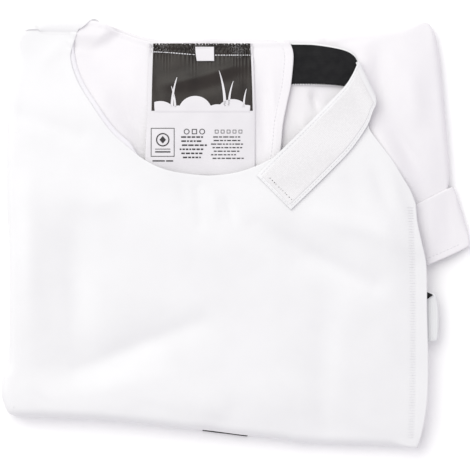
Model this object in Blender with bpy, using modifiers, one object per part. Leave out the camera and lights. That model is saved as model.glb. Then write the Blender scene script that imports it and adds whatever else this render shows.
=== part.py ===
"""White fencing half jacket, folded flat on its back, as thin cloth solids over its hidden layers.

All tables are in millimetres, in the part's own frame: X to the right, Y up the jacket, Z up from
the flat underside. Every cloth piece is an outline in plan, cut into a net of faces, laid at its
level in the fold, rolled over where the jacket is folded, and given its wall inward.
"""

import math

import bmesh
import bpy
from mathutils import Vector
from mathutils.bvhtree import BVHTree

MM = 0.001
UPWARD = Vector((0, 0, 1))

# Walls and gaps
CLOTH_WALL = 2.0
BAND_WALL = 1.2
LABEL_WALL = 1.0
ELASTIC_WALL = 1.6
STRAP_WALL = 2.0
SEAM_GAP = 0.3
NET = 13.0
FRONT_NET = 11.0

# Levels in the fold, measured down from the height of the stack
BACK_DEPTH = 5.0
FACING_DEPTH = CLOTH_WALL + SEAM_GAP

# Folds: how far a rolled edge reaches out beyond its crown, and where it ends underneath
FRONT_REACH = 7.5
BACK_REACH = 4.5
SLEEVE_REACH = 6.0
CUFF_REACH = 5.0
CUFF_UNDER = 15.0
ROLL_END = 160.0
ROLL_STEPS = 6

# Hidden layers
LAYERS_NET = 16.0
LAYERS_REACH = 4.0
LAYERS_STEPS = 8
LAYERS_SPREAD = 17.0
LAYERS_CLEAR = 0.9
LAYERS_TURN = 150.0
LOWEST_COVER = 2.6
THINNEST_STACK = 3.2
ROLLED_NODES = ("front_panel", "sleeve", "sleeve_cuff")

# Height of the folded stack at stations across (columns) and up (rows)
STATIONS_X = (-180, -158, -122, -80, -30, 40, 100, 150, 182)
STACK = (
    # y, height at each station
    (-165, (14, 15, 15.5, 16, 16.5, 16.5, 16, 13.5, 9)),
    (-132, (19, 22, 23, 23.5, 23.5, 22.5, 20.5, 16, 9)),
    (-100, (19, 21, 19.5, 21, 23, 23.5, 22, 16.5, 9)),
    (-60, (19.5, 22.5, 20, 22, 24, 25, 23.5, 17.5, 9)),
    (-10, (19.5, 23, 20.5, 23.5, 27, 27, 25, 17.8, 9.5)),
    (40, (18, 21, 22, 23.5, 23.5, 24.5, 24.5, 18, 10)),
    (90, (15.5, 18, 21, 23, 23.5, 23.5, 22.5, 18, 11)),
    (130, (13.5, 15, 17.5, 20.5, 21.5, 21.5, 20.5, 16.5, 11)),
    (165, (12.5, 13.5, 15, 16.5, 17, 17, 16, 14, 10)),
)

# How deep the sleeve lies under the stack height
SLEEVE_STATIONS_X = (35, 75, 110, 145, 180)
SLEEVE_DEPTHS = (
    # y, depth at each station
    (-20, (9.6, 9.6, 10.5, 10.5, 5.4)),
    (25, (9.6, 9.6, 8.0, 7.4, 5.2)),
    (60, (9.6, 8.4, 4.4, 3.4, 3.2)),
    (100, (9.6, 8.0, 3.6, 3.0, 3.0)),
    (150, (9.6, 9.0, 4.0, 3.0, 3.0)),
)

# Largest folds in the upper cloth, each along a chain of places: how far it spreads to each side
# there, and its rise
FOLDS = (
    # x, y, spread, rise at each place
    ((-122, -106, 10, -1.2), (-80, -90, 11, -1.7), (-27, -68, 11, -1.1)),
    ((66, 17, 12, 1.0), (84, 9, 12, 2.0), (116, 0, 12, 2.0), (137, -12, 11, 1.0)),
    ((17, 8, 12, -1.6), (50, -18, 13, -2.6), (106, -39, 13, -1.9)),
    ((-29, 36, 6, -0.9), (-27, 8, 6, -0.7)),
    ((-6, -156, 12, -1.4), (-4, -138, 12, -0.8)),
    ((-166, 92, 10, -1.0), (-120, 77, 10, -1.0)),
    ((73, -51, 18, -1.2), (70, -105, 18, -2.2), (67, -151, 16, -1.6)),
)

# Edges of the cloth in plan
LEFT_FOLD = (
    (-164.6, 157.2), (-167.2, 153.2), (-168.6, 148), (-169.5, 137), (-172.5, 120), (-176, 97), (-177.5, 35),
    (-175.5, -4), (-175, -50), (-176, -97), (-180, -109), (-181.5, -120), (-180.6, -127),
    (-178.4, -133.5), (-175.4, -138.5), (-170, -141),
)
BOTTOM_FOLD = (
    (-170, -141), (-136, -142), (-105, -143.5), (-74, -146.5), (-43, -150), (-23, -151.5),
    (4, -155), (35, -158.5), (50, -161), (81, -162.5), (112, -163.5), (141.5, -165.5),
)
FRONT_HEM = (
    (143.2, -160), (147, -142), (149, -124), (149.5, -99), (148.5, -58), (148, -24),
    (144.5, -6.5), (141, 10), (139.7, 24),
)
ARMHOLE = ((139.7, 24), (135.5, 34.5), (129, 45.5), (121.5, 58), (112, 70.5), (104.5, 80.5), (102, 88))
SHOULDER_TIP = ((102, 90), (84.5, 110))
FRONT_NECKLINE = (
    (83.5, 110.5), (73.5, 99.5), (54, 79), (38.5, 65.5), (20.5, 55), (0, 48), (-23.5, 46),
    (-50.5, 49.5), (-68.5, 57), (-83, 68), (-97, 81), (-112.5, 103), (-120.5, 116),
    (-125.5, 128), (-127.5, 138), (-125.5, 147), (-122.5, 156),
)
SHOULDER_SEAM = ((-122.5, 157.4), (-126.5, 158.2), (-143.5, 158.6), (-160.5, 157.7))

SHOULDER_FOLD = (
    (-99, 163), (-104, 164.6), (-111, 166), (-120, 166.2), (-134, 166.2), (-145, 166),
    (-151.3, 164.6), (-157.5, 161.6), (-160.5, 160.2), (-163.5, 158.6),
)
SEAM_OVER = ((-164.5, 159), (-158, 159.4), (-143.5, 159.3), (-126.5, 158.9), (-99, 158))
BACK_NECK_EDGE = (
    (41, 149.6), (11.5, 149.3), (-19.5, 148.2), (-43, 146.8), (-58.5, 147.8), (-71.5, 151),
    (-85.5, 155.6), (-93, 158.4),
)
BACK_SIDE_HEM = (
    (33, 52), (35.5, 67), (37, 85), (40, 100.6), (43.2, 116), (45.1, 135.4), (44.6, 143),
    (42.4, 148.6),
)
BACK_HIDDEN = (
    (-158.5, 149), (-150, 141), (-138, 128), (-128, 108), (-112, 84), (-94, 62), (-78, 50),
    (-58, 39), (-30, 33), (-2, 34), (26, 40),
)

SLEEVE_TOP = (
    (155.6, 154), (153, 160), (149, 164.6), (144.5, 165), (139.3, 163.2), (127.7, 161),
    (112, 158.7), (96.7, 156.7), (73.5, 154.8), (38, 151.3),
)
SLEEVE_SIDE = (
    (164.4, 32), (165, 36.5), (166.2, 41), (166.4, 48), (165.7, 58), (163.3, 85), (161, 112),
    (158.7, 135.4), (155.6, 154),
)
SLEEVE_HIDDEN = (
    (33, 140), (33, 120), (27, 90), (26, 56), (40, 50), (56, 62), (74, 76), (90, 74), (106, 62),
    (118, 46), (129, 28), (138, 14.5), (150, 20.5), (160, 24),
)

CUFF_SIDE = (
    (181.9, -8.7), (181.9, -4.8), (180.2, 3), (176.8, 15.3), (173, 27), (169.6, 37.2),
)
CUFF_MOUTH = ((139, -27), (150, -23.2), (162.6, -18), (176.6, -11.6))
CUFF_HIDDEN = ((132, 19.5), (134.5, -5))
CUFF_TOP = ((164.6, 35.8), (156.4, 31.8), (147, 27), (139.5, 23.5))

LAYERS_RIGHT = (
    (141.6, -153), (144.5, -142), (146.6, -120), (147, -60), (146.2, -32), (148, -22),
    (153.5, -11), (156, 2), (157, 18),
)
LAYERS_TOP = (
    (34, 151), (15, 151.5), (-19.5, 151), (-43, 149.4), (-58.5, 150.6), (-71.5, 154),
    (-85.5, 159), (-97, 162.6), (-110, 163.8), (-145, 163.8), (-151, 160.5), (-156, 153),
)

# Sections along the straps: the two edges in plan, and the top's level against the stack height
ELASTIC_SECTIONS = (
    # upper x, upper y, lower x, lower y, level
    (35.5, 147.6, 33.5, 117, -7.3),
    (46, 147.4, 44, 117, -7.3),
    (61, 147, 60, 117, -6.6),
    (76, 144.6, 74.5, 116.4, -5.4),
    (86, 142.6, 84, 115.6, -4.4),
    (92, 140.6, 90.5, 114.6, -3.8),
)
STRAP_SECTIONS = (
    (16.5, 46, 43, 19.4, 2.3),
    (27, 57, 54, 30, 2.3),
    (50, 79.4, 74, 49.6, 2.3),
    (65.5, 95, 89.5, 66, 2.4),
    (83.5, 113.6, 101.5, 83.4, 3.2),
    (90, 123, 106, 94.5, 4.2),
    (94, 131, 108.6, 101, 3.6),
    (95.8, 134.2, 110, 105, 1.6),
    (95.4, 134.4, 109.6, 105.6, -0.8),
    (94, 133.4, 107.4, 105.4, -2.6),
)

LABEL_ROWS = (
    # y, left x, right x
    (148.2, -66.8, 13.4),
    (132, -67.2, 14.2),
    (112, -67.7, 14.9),
    (95, -68.0, 15.3),
    (76, -69.0, 15.3),
    (56, -69.9, 15.3),
    (46, -70.0, 15.3),
)
TAG_ROWS = ((145.5, -30.0, -17.2), (140, -29.7, -17.6), (135.2, -29.4, -18.0))

# Waist strap: a folded end loop between the front's hem and the layers under it
WAIST_TOP, WAIST_LOW = -45.5, -84.0
WAIST_TIP = 158.0
WAIST_ROOT = 141.0
WAIST_THICK = 3.6
WAIST_WALL = 1.4
WAIST_DEPTH = 7.4

# Elastic end under the bottom fold: how far it shows, and how far it reaches in to the fold
LOWER_STRIP = ((-25.5, -152.2), (9.5, -156.6))
LOWER_SHOWN = 1.1
LOWER_TUCKED = 4.2


def clamp01(value):
    return min(1.0, max(0.0, value))


def smooth(value):
    """A soft step from 0 to 1."""
    value = clamp01(value)
    return value * value * (3 - 2 * value)


def spline(a, b, c, d, t):
    """One Catmull-Rom value between b and c."""
    return b + 0.5 * t * (c - a + t * (2 * a - 5 * b + 4 * c - d + t * (3 * (b - c) + d - a)))


def between(stations, values, x):
    """The smooth value at x of a row of values at uneven stations."""
    x = min(max(x, stations[0]), stations[-1])
    last = len(stations) - 1
    i = max(k for k in range(last) if stations[k] <= x)
    t = (x - stations[i]) / (stations[i + 1] - stations[i])
    return spline(values[max(i - 1, 0)], values[i], values[i + 1], values[min(i + 2, last)], t)


def table_height(stations, rows, x, y):
    """The smooth height at (x, y) of a table with one row of heights for each y."""
    column = [between(stations, heights, x) for _, heights in rows]
    return between([row[0] for row in rows], column, y)


def fold_relief(x, y):
    """The sum of the largest folds at (x, y)."""
    total = 0.0
    for chain in FOLDS:
        k, t, away = nearest_on_chain([place[:2] for place in chain], x, y)
        spread = chain[k][2] * (1 - t) + chain[k + 1][2] * t
        rise = chain[k][3] * (1 - t) + chain[k + 1][3] * t
        total += rise * math.exp(-2.0 * (away / spread) ** 2)
    return total


def base_height(x, y):
    return table_height(STATIONS_X, STACK, x, y)


def stack_height(x, y):
    return base_height(x, y) + fold_relief(x, y)


def sleeve_height(x, y):
    return stack_height(x, y) - table_height(SLEEVE_STATIONS_X, SLEEVE_DEPTHS, x, y)


def cuff_height(x, y):
    return sleeve_height(x, y) + CLOTH_WALL + SEAM_GAP


def back_underside(x, y):
    return stack_height(x, y) - BACK_DEPTH - CLOTH_WALL


def path(points, step):
    """Points about a step apart on the smooth curve through the given ones."""
    ends = [points[0], *points, points[-1]]
    dense = []
    for a, b, c, d in zip(ends, ends[1:], ends[2:], ends[3:]):
        dense += [(spline(a[0], b[0], c[0], d[0], k / 8), spline(a[1], b[1], c[1], d[1], k / 8))
                  for k in range(8)]
    dense.append(points[-1])
    lengths = [math.dist(p, q) for p, q in zip(dense, dense[1:])]
    count = max(1, round(sum(lengths) / step))
    result = [dense[0]]
    walked, k = 0.0, 0
    for n in range(1, count):
        target = sum(lengths) * n / count
        while walked + lengths[k] < target:
            walked += lengths[k]
            k += 1
        t = (target - walked) / lengths[k]
        (x0, y0), (x1, y1) = dense[k], dense[k + 1]
        result.append((x0 + (x1 - x0) * t, y0 + (y1 - y0) * t))
    result.append(dense[-1])
    return result


def outward_normals(chain):
    """For a chain walked with the cloth on its left, the unit normals that point away from it."""
    normals = []
    for k in range(len(chain)):
        x0, y0 = chain[max(k - 1, 0)]
        x1, y1 = chain[min(k + 1, len(chain) - 1)]
        length = math.hypot(x1 - x0, y1 - y0)
        normals.append(((y1 - y0) / length, -(x1 - x0) / length))
    return normals


def crown_of(chain, reach):
    """The line inside a fold edge where the cloth begins to roll over."""
    return [(x - nx * r, y - ny * r) for (x, y), (nx, ny), r in zip(chain, outward_normals(chain), reach)]


def cut_net(outline, step):
    """A flat face with this outline, cut along a square net."""
    bm = bmesh.new()
    bm.faces.new([bm.verts.new((x, y, 0)) for x, y in outline])
    for axis in (0, 1):
        low = min(p[axis] for p in outline)
        high = max(p[axis] for p in outline)
        count = math.ceil((high - low) / step)
        for k in range(1, count):
            place, normal = [0, 0, 0], [0, 0, 0]
            place[axis] = low + (high - low) * k / count
            normal[axis] = 1
            everything = bm.verts[:] + bm.edges[:] + bm.faces[:]
            bmesh.ops.bisect_plane(bm, geom=everything, plane_co=place, plane_no=normal, dist=0.02)
    bmesh.ops.dissolve_degenerate(bm, dist=0.06 * step, edges=bm.edges)
    loose = [e for e in bm.edges if not e.link_faces]
    bmesh.ops.delete(bm, geom=loose, context="EDGES")
    return bm


def nearest_on_chain(chain, x, y):
    """Where (x, y) lies on a chain: the segment, the share of it, and the distance."""
    best = (0, 0.0, 1e9)
    for k, ((x0, y0), (x1, y1)) in enumerate(zip(chain, chain[1:])):
        dx, dy = x1 - x0, y1 - y0
        t = clamp01(((x - x0) * dx + (y - y0) * dy) / (dx * dx + dy * dy))
        distance = math.hypot(x0 + dx * t - x, y0 + dy * t - y)
        if distance < best[2] - 1e-9:
            best = (k, t, distance)
    return best


def roll_over(bm, chain, reach, sections):
    """Extrude the boundary along a fold's crown through the sections.

    A section takes the share along the chain and gives the reach outward and the height.
    """
    crown = crown_of(chain, reach)
    normals = outward_normals(chain)
    edge = [e for e in bm.edges if e.is_boundary
            and all(nearest_on_chain(crown, v.co.x, v.co.y)[2] < 1.0 for v in e.verts)]
    roots = {}
    for vert in {v for e in edge for v in e.verts}:
        k, t, _ = nearest_on_chain(crown, vert.co.x, vert.co.y)
        nx = normals[k][0] * (1 - t) + normals[k + 1][0] * t
        ny = normals[k][1] * (1 - t) + normals[k + 1][1] * t
        reach_here = reach[k] * (1 - t) + reach[k + 1] * t
        share = (k + t) / (len(crown) - 1)
        roots[vert.index] = (vert.co.x, vert.co.y, nx, ny, reach_here, share)
    tag = bm.verts.layers.int.new("root")
    for vert in {v for e in edge for v in e.verts}:
        vert[tag] = vert.index
    for section in sections:
        made = bmesh.ops.extrude_edge_only(bm, edges=edge)["geom"]
        for vert in (g for g in made if isinstance(g, bmesh.types.BMVert)):
            x, y, nx, ny, reach_here, share = roots[vert[tag]]
            out, height = section(x, y, reach_here, share)
            vert.co = (x + nx * out, y + ny * out, height)
        edge = [g for g in made if isinstance(g, bmesh.types.BMEdge)]
        edge = [e for e in edge if e.is_boundary and len(e.link_faces) == 1
                and all(v in made for v in e.verts)]


def fold_section(angle, height_at):
    """The section of a rolled edge at an angle: 0 on top, 90 outermost, 180 underneath."""
    turn = math.radians(angle)

    def section(x, y, reach, share):
        return reach * math.sin(turn), height_at(x, y) * (1 + math.cos(turn)) / 2

    return section


def rolled_sections(height_at, end=ROLL_END):
    return [fold_section(end * k / ROLL_STEPS, height_at) for k in range(1, ROLL_STEPS + 1)]


def new_object(name, bm, material, collection):
    """A bmesh in millimetres as a named object in metres."""
    bmesh.ops.scale(bm, vec=(MM, MM, MM), verts=bm.verts)
    mesh = bpy.data.meshes.new(name)
    bm.to_mesh(mesh)
    bm.free()
    obj = bpy.data.objects.new(name, mesh)
    obj.data.materials.append(material)
    collection.objects.link(obj)
    return obj


def give_wall(obj, wall):
    """Thicken a cloth surface, away from its outer face."""
    solidify = obj.modifiers.new("Wall", "SOLIDIFY")
    solidify.thickness = wall * MM
    solidify.offset = -1.0
    solidify.use_even_offset = True
    solidify.use_quality_normals = True


def face_up(bm, upward=True):
    """Point the flat net's faces up or down."""
    wrong = [f for f in bm.faces if (f.normal.z > 0) != upward]
    bmesh.ops.reverse_faces(bm, faces=wrong)


def lay(bm, height_at):
    for vert in bm.verts:
        vert.co.z = height_at(vert.co.x, vert.co.y)


def strip_surface(rows):
    """A grid surface whose rows are lists of points, from a primitive grid."""
    bm = bmesh.new()
    across = len(rows[0]) - 1
    bmesh.ops.create_grid(bm, x_segments=across, y_segments=len(rows) - 1, size=1)
    order = sorted(bm.verts, key=lambda v: (round(v.co.y, 5), round(v.co.x, 5)))
    for vert, point in zip(order, [p for row in rows for p in row]):
        vert.co = point
    return bm


def cloth_material(name, colour, roughness):
    material = bpy.data.materials.new(name)
    material.use_nodes = True
    shader = material.node_tree.nodes["Principled BSDF"]
    shader.inputs["Base Color"].default_value = (*colour, 1)
    shader.inputs["Roughness"].default_value = roughness
    shader.inputs["Metallic"].default_value = 0.0
    return material


def front_fold():
    """The chain of the front's fold edge, with its reach: it starts small at the shoulder."""
    chain = path(LEFT_FOLD, FRONT_NET * 0.7)[:-1] + path(BOTTOM_FOLD, FRONT_NET)
    return chain, [FRONT_REACH * (0.45 + 0.55 * smooth(k / 2.5)) for k in range(len(chain))]


def front_panel(collection, material):
    """The front: flat net up to the fold crowns, rolled over at the left and bottom folds."""
    fold, reach = front_fold()
    edge = (crown_of(fold, reach) + path(FRONT_HEM, FRONT_NET) + path(ARMHOLE, FRONT_NET)[1:]
            + list(SHOULDER_TIP) + path(FRONT_NECKLINE, FRONT_NET * 0.8)[1:]
            + path(SHOULDER_SEAM, FRONT_NET))
    bm = cut_net(edge, FRONT_NET)
    face_up(bm)
    lay(bm, stack_height)
    roll_over(bm, fold, reach, rolled_sections(stack_height))
    give_wall(new_object("front_panel", bm, material, collection), CLOTH_WALL)


def back_wrap_section(share):
    """The back's cloth on its way from the underside over the top fold to the seam.

    Left of the neck it goes all the way. From there its edge runs back over the fold.
    """
    def section(x, y, reach, _):
        top = stack_height(x, y)
        half = (BACK_DEPTH + CLOTH_WALL) / 2
        arc = math.pi * (reach + half) / 2
        past_seam = y - between([p[0] for p in SEAM_OVER], [p[1] for p in SEAM_OVER], x)
        if past_seam < 0:
            whole = arc * (1 - math.asin(min(1.0, -1.4 * past_seam / reach)) / math.pi)
        else:
            whole = arc + past_seam
        way = share * whole * (1 - 0.9 * smooth((x + 124) / 24))
        turn = math.pi * (1 - min(way, arc) / arc)
        flat = max(0.0, way - arc)
        return reach * math.sin(turn) - flat, top - half + half * math.cos(turn)
    return section


def back_panel(collection, material):
    """The back: its inner side shows in the neck, its shoulder turns over the top fold."""
    fold = path(SHOULDER_FOLD, 4.5)
    reach = [BACK_REACH] * len(fold)
    edge = (crown_of(fold, reach) + path(BACK_HIDDEN, NET) + path(BACK_SIDE_HEM, NET)
            + path(BACK_NECK_EDGE, NET))
    bm = cut_net(edge, NET)
    face_up(bm, upward=False)
    lay(bm, back_underside)
    roll_over(bm, fold, reach, [back_wrap_section(k / 8) for k in range(1, 9)])
    bmesh.ops.recalc_face_normals(bm, faces=bm.faces)
    lowest = min(bm.faces, key=lambda f: f.calc_center_median().y)
    if lowest.normal.z > 0:
        bmesh.ops.reverse_faces(bm, faces=bm.faces)
    give_wall(new_object("back_panel", bm, material, collection), CLOTH_WALL)


def sleeve(collection, material):
    """The sleeve: lower layer at the right, rolled over at its top and outer folds."""
    fold = path(SLEEVE_SIDE, NET)[:-1] + path(SLEEVE_TOP, NET * 0.7)
    reach = [SLEEVE_REACH] * len(fold)
    crown = crown_of(fold, reach)
    bm = cut_net(crown + path(SLEEVE_HIDDEN, NET), NET)
    face_up(bm)
    lay(bm, sleeve_height)
    roll_over(bm, fold, reach, rolled_sections(sleeve_height))
    give_wall(new_object("sleeve", bm, material, collection), CLOTH_WALL)


def cuff_lower_wall(x, y, reach, share):
    """The cuff's lower wall on the ground: widest at the mouth, none where the sleeve comes in."""
    return -1.0 - CUFF_UNDER * (1 - smooth((share - 0.4) / 0.35)), 0.0


def sleeve_cuff(collection, material):
    """The cuff band: over the sleeve's end, rolled at its outer fold, open at its mouth."""
    fold = path(CUFF_SIDE, NET * 0.7)
    reach = [CUFF_REACH] * len(fold)
    crown = crown_of(fold, reach)
    edge = (crown + path(CUFF_TOP, NET) + path(CUFF_HIDDEN, NET)
            + path(CUFF_MOUTH, NET))
    bm = cut_net(edge, NET * 0.8)
    face_up(bm)
    lay(bm, cuff_height)
    roll_over(bm, fold, reach, rolled_sections(cuff_height, 180.0) + [cuff_lower_wall])
    give_wall(new_object("sleeve_cuff", bm, material, collection), CLOTH_WALL)


def neck_facing(collection, material):
    """The turned band that shows inside the left half of the front neckline."""
    line = [p for p in path(FRONT_NECKLINE, 8.0) if p[0] < -74 and p[1] < 150]
    normals = outward_normals(line)
    rows = []
    for k, ((x, y), (nx, ny)) in enumerate(zip(line, normals)):
        shown = 3.6 * smooth(min(k + 0.6, len(line) - 0.4 - k) / 2.0)
        row = []
        for out, drop in ((-5.0, 0.0), (0.0, 0.05), (0.5 * shown, 0.3), (shown, 0.7)):
            top = stack_height(x + nx * out, y + ny * out)
            row.append((x + nx * out, y + ny * out, top - FACING_DEPTH - drop))
        rows.append(row)
    bm = strip_surface(rows)
    face_up(bm)
    give_wall(new_object("neck_facing", bm, material, collection), BAND_WALL)


def band_on_back(name, rows_table, lift, wall, across, collection, material):
    """A label or tag laid on the back's inner side, from the back's own heights."""
    rows = []
    for y, left, right in rows_table:
        row = []
        for k in range(across + 1):
            x = left + (right - left) * k / across
            row.append((x, y, stack_height(x, y) - BACK_DEPTH + lift + wall))
        rows.append(row)
    bm = strip_surface(rows)
    face_up(bm)
    give_wall(new_object(name, bm, material, collection), wall)


def ribbon(name, sections, wall, collection, material):
    """A strap through sections, its level measured against the stack height."""
    rows = []
    for x0, y0, x1, y1, level in sections:
        row = []
        for k in range(5):
            x = x0 + (x1 - x0) * k / 4
            y = y0 + (y1 - y0) * k / 4
            row.append((x, y, stack_height(x, y) + level))
        rows.append(row)
    bm = strip_surface(rows)
    bmesh.ops.recalc_face_normals(bm, faces=bm.faces)
    first = min(bm.faces, key=lambda f: f.calc_center_median().x)
    if first.normal.z < 0:
        bmesh.ops.reverse_faces(bm, faces=bm.faces)
    give_wall(new_object(name, bm, material, collection), wall)


def waist_pieces(collection, webbing, elastic):
    """The folded end of the waist strap, and the elastic end that shows above it."""
    rows = []
    for k in range(9):
        turn = math.radians(180 * k / 8)
        tip = WAIST_TIP - WAIST_THICK / 2
        row = []
        for n in range(5):
            y = WAIST_TOP + (WAIST_LOW - WAIST_TOP) * n / 4
            middle = stack_height(WAIST_ROOT, y) - WAIST_DEPTH
            row.append((tip + WAIST_THICK / 2 * math.sin(turn), y,
                        middle + WAIST_THICK / 2 * math.cos(turn)))
        rows.append(row)
    upper_root = [(WAIST_ROOT, y, z) for _, y, z in rows[0]]
    lower_root = [(WAIST_ROOT, y, z) for _, y, z in rows[-1]]
    rows = [upper_root, *rows, lower_root]
    bm = strip_surface(rows)
    bmesh.ops.recalc_face_normals(bm, faces=bm.faces)
    top = max(bm.faces, key=lambda f: f.calc_center_median().z)
    if top.normal.z < 0:
        bmesh.ops.reverse_faces(bm, faces=bm.faces)
    give_wall(new_object("waist_strap", bm, webbing, collection), WAIST_WALL)

    level = stack_height(WAIST_ROOT, WAIST_TOP) - WAIST_DEPTH + WAIST_THICK / 2 + SEAM_GAP + BAND_WALL
    corners = ((WAIST_ROOT, -43.8), (149.4, -44.6), (153.2, -46.6), (149.4, -49.4), (WAIST_ROOT, -52))
    bm = bmesh.new()
    bm.faces.new([bm.verts.new((x, y, level)) for x, y in corners])
    face_up(bm)
    give_wall(new_object("waist_elastic", bm, elastic, collection), BAND_WALL)


def lower_elastic(collection, material):
    """The elastic that lies under the bottom fold and shows as a thin edge."""
    (x0, y0), (x1, y1) = LOWER_STRIP
    length = math.hypot(x1 - x0, y1 - y0)
    nx, ny = (y1 - y0) / length, -(x1 - x0) / length
    rows = []
    for out in (LOWER_SHOWN, -LOWER_TUCKED):
        rows.append([(x0 + (x1 - x0) * k / 6 + nx * out, y0 + (y1 - y0) * k / 6 + ny * out, BAND_WALL)
                     for k in range(7)])
    bm = strip_surface(rows)
    face_up(bm)
    give_wall(new_object("lower_elastic", bm, material, collection), BAND_WALL)


def folded_layers(collection, material, covers):
    """The hidden layers: one rounded solid under the cloth, layered where its side is open."""
    graph = bpy.context.evaluated_depsgraph_get()
    trees = [(BVHTree.FromObject(obj, graph), obj.name in ROLLED_NODES) for obj in covers]

    def depth(x, y, near_rolls):
        """How deep under the stack's height the lowest cloth lies, at a spot and around it."""
        deepest = CLOTH_WALL
        for tree, is_rolled in trees:
            spread = near_rolls if is_rolled else LAYERS_SPREAD
            for turn in range(37):
                far = spread * math.ceil(turn / 12) / 3
                px = x + far * math.cos(turn * math.pi / 6)
                py = y + far * math.sin(turn * math.pi / 6)
                hit = tree.ray_cast(Vector((px, py, LOWEST_COVER)) * MM, UPWARD)
                if hit[0] is not None:
                    deepest = max(deepest, base_height(px, py) - hit[0].z / MM)
        return deepest + LAYERS_CLEAR

    def zone(chain, reach, height_at, first=0, last=None):
        """Loop points with their normal, reach and cover, where the cover's fold is known."""
        spots = zip(chain, outward_normals(chain), reach, [height_at] * len(chain))
        return list(spots)[first:last]

    right, top = path(LAYERS_RIGHT, LAYERS_NET), path(LAYERS_TOP, LAYERS_NET)
    sleeve_fold = path(SLEEVE_SIDE, NET)[:-1] + path(SLEEVE_TOP, NET * 0.7)
    loop = zone(*front_fold(), stack_height, 3, -1)
    loop += zone(right, [LAYERS_REACH] * len(right), None)
    loop += zone(sleeve_fold, [SLEEVE_REACH] * len(sleeve_fold), sleeve_height, 1)
    loop += zone(top, [LAYERS_REACH] * len(top), None)
    crown = [(x - nx * reach, y - ny * reach) for (x, y), (nx, ny), reach, _ in loop]
    closed = crown + [crown[0]]

    def top_at(x, y, near_rolls):
        return max(THINNEST_STACK, base_height(x, y) - depth(x, y, near_rolls))

    tops = [top_at(x, y, 0.5 if spot[3] else LAYERS_SPREAD) for (x, y), spot in zip(crown, loop)]
    bm = cut_net(crown, LAYERS_NET)
    face_up(bm)
    for vert in bm.verts:
        x, y, _ = vert.co
        k, t, inside = nearest_on_chain(closed, x, y)
        if inside < 0.5:
            vert.co.z = tops[k] * (1 - t) + tops[(k + 1) % len(loop)] * t
        else:
            near_rolls = 0.5 + 0.9 * inside if loop[k][3] else LAYERS_SPREAD
            vert.co.z = top_at(x, y, min(LAYERS_SPREAD, near_rolls))

    rings = []
    inner = CLOTH_WALL + 1.0
    for (_, (nx, ny), reach, height_at), (cx, cy), top in zip(loop, crown, tops):
        points = []
        for k in range(1, LAYERS_STEPS + 1):
            share = k / (LAYERS_STEPS + 1)
            if height_at:
                full = height_at(cx, cy)
                turn = math.radians(LAYERS_TURN * k / LAYERS_STEPS)
                out = (reach - inner) * math.sin(turn)
                z = min(top, full / 2 + (full / 2 - inner) * math.cos(turn))
            else:
                out = reach * (1.0 if k % 2 else 0.6)
                fall = base_height(cx, cy) - base_height(cx + nx * out, cy + ny * out)
                z = max(3.0, top - fall) * (1 - share)
            points.append((cx + nx * out, cy + ny * out, z))
        foot = -1.5 if height_at else reach * 0.6
        points.append((cx + nx * foot, cy + ny * foot, 0.0))
        rings.append(points)

    place = bm.verts.layers.float_vector.new("place")
    edge = [e for e in bm.edges if e.is_boundary]
    for vert in {v for e in edge for v in e.verts}:
        k, t, _ = nearest_on_chain(closed, vert.co.x, vert.co.y)
        vert[place] = (k, t, 0)
    for step in range(LAYERS_STEPS + 1):
        made = set(bmesh.ops.extrude_edge_only(bm, edges=edge)["geom"])
        for vert in (g for g in made if isinstance(g, bmesh.types.BMVert)):
            k, t = round(vert[place].x), vert[place].y
            vert.co = Vector(rings[k][step]).lerp(Vector(rings[(k + 1) % len(loop)][step]), t)
        edge = [g for g in made if isinstance(g, bmesh.types.BMEdge) and g.is_boundary
                and all(v in made for v in g.verts)]
    bmesh.ops.contextual_create(bm, geom=edge)
    bmesh.ops.recalc_face_normals(bm, faces=bm.faces)
    bmesh.ops.triangulate(bm, faces=[f for f in bm.faces if len(f.verts) > 4])
    new_object("folded_layers", bm, material, collection)


def build():
    for obj in list(bpy.data.objects):
        bpy.data.objects.remove(obj, do_unlink=True)
    collection = bpy.data.collections.new("folded_fencing_jacket")
    bpy.context.scene.collection.children.link(collection)

    jacket = cloth_material("white_jacket_cloth", (0.86, 0.86, 0.87), 0.8)
    facing = cloth_material("white_facing_tape", (0.8, 0.8, 0.81), 0.85)
    layers = cloth_material("white_inner_layers", (0.78, 0.78, 0.79), 0.85)
    satin = cloth_material("white_label_satin", (0.84, 0.84, 0.84), 0.45)
    tag = cloth_material("white_tag_satin", (0.9, 0.9, 0.9), 0.5)
    black = cloth_material("black_elastic", (0.02, 0.02, 0.022), 0.8)
    tape = cloth_material("white_hook_tape", (0.82, 0.84, 0.84), 0.6)
    webbing = cloth_material("white_ribbed_webbing", (0.76, 0.77, 0.78), 0.7)

    front_panel(collection, jacket)
    back_panel(collection, jacket)
    sleeve(collection, jacket)
    sleeve_cuff(collection, jacket)
    neck_facing(collection, facing)
    band_on_back("neck_label", LABEL_ROWS, SEAM_GAP, LABEL_WALL, 10, collection, satin)
    band_on_back("size_tag", TAG_ROWS, SEAM_GAP * 2 + LABEL_WALL, LABEL_WALL, 3, collection, tag)
    ribbon("shoulder_elastic", ELASTIC_SECTIONS, ELASTIC_WALL, collection, black)
    ribbon("shoulder_strap", STRAP_SECTIONS, STRAP_WALL, collection, tape)
    waist_pieces(collection, webbing, black)
    lower_elastic(collection, black)
    folded_layers(collection, layers, list(collection.objects))


build()
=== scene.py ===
"""Folded fencing half jacket: cloth shells, printed label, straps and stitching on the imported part.

Every size and place is in millimetres, in the part's frame: X right, Y up the jacket, Z up.
"""

import math
import random

import bpy
import numpy as np
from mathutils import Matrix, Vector, geometry, noise


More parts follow.
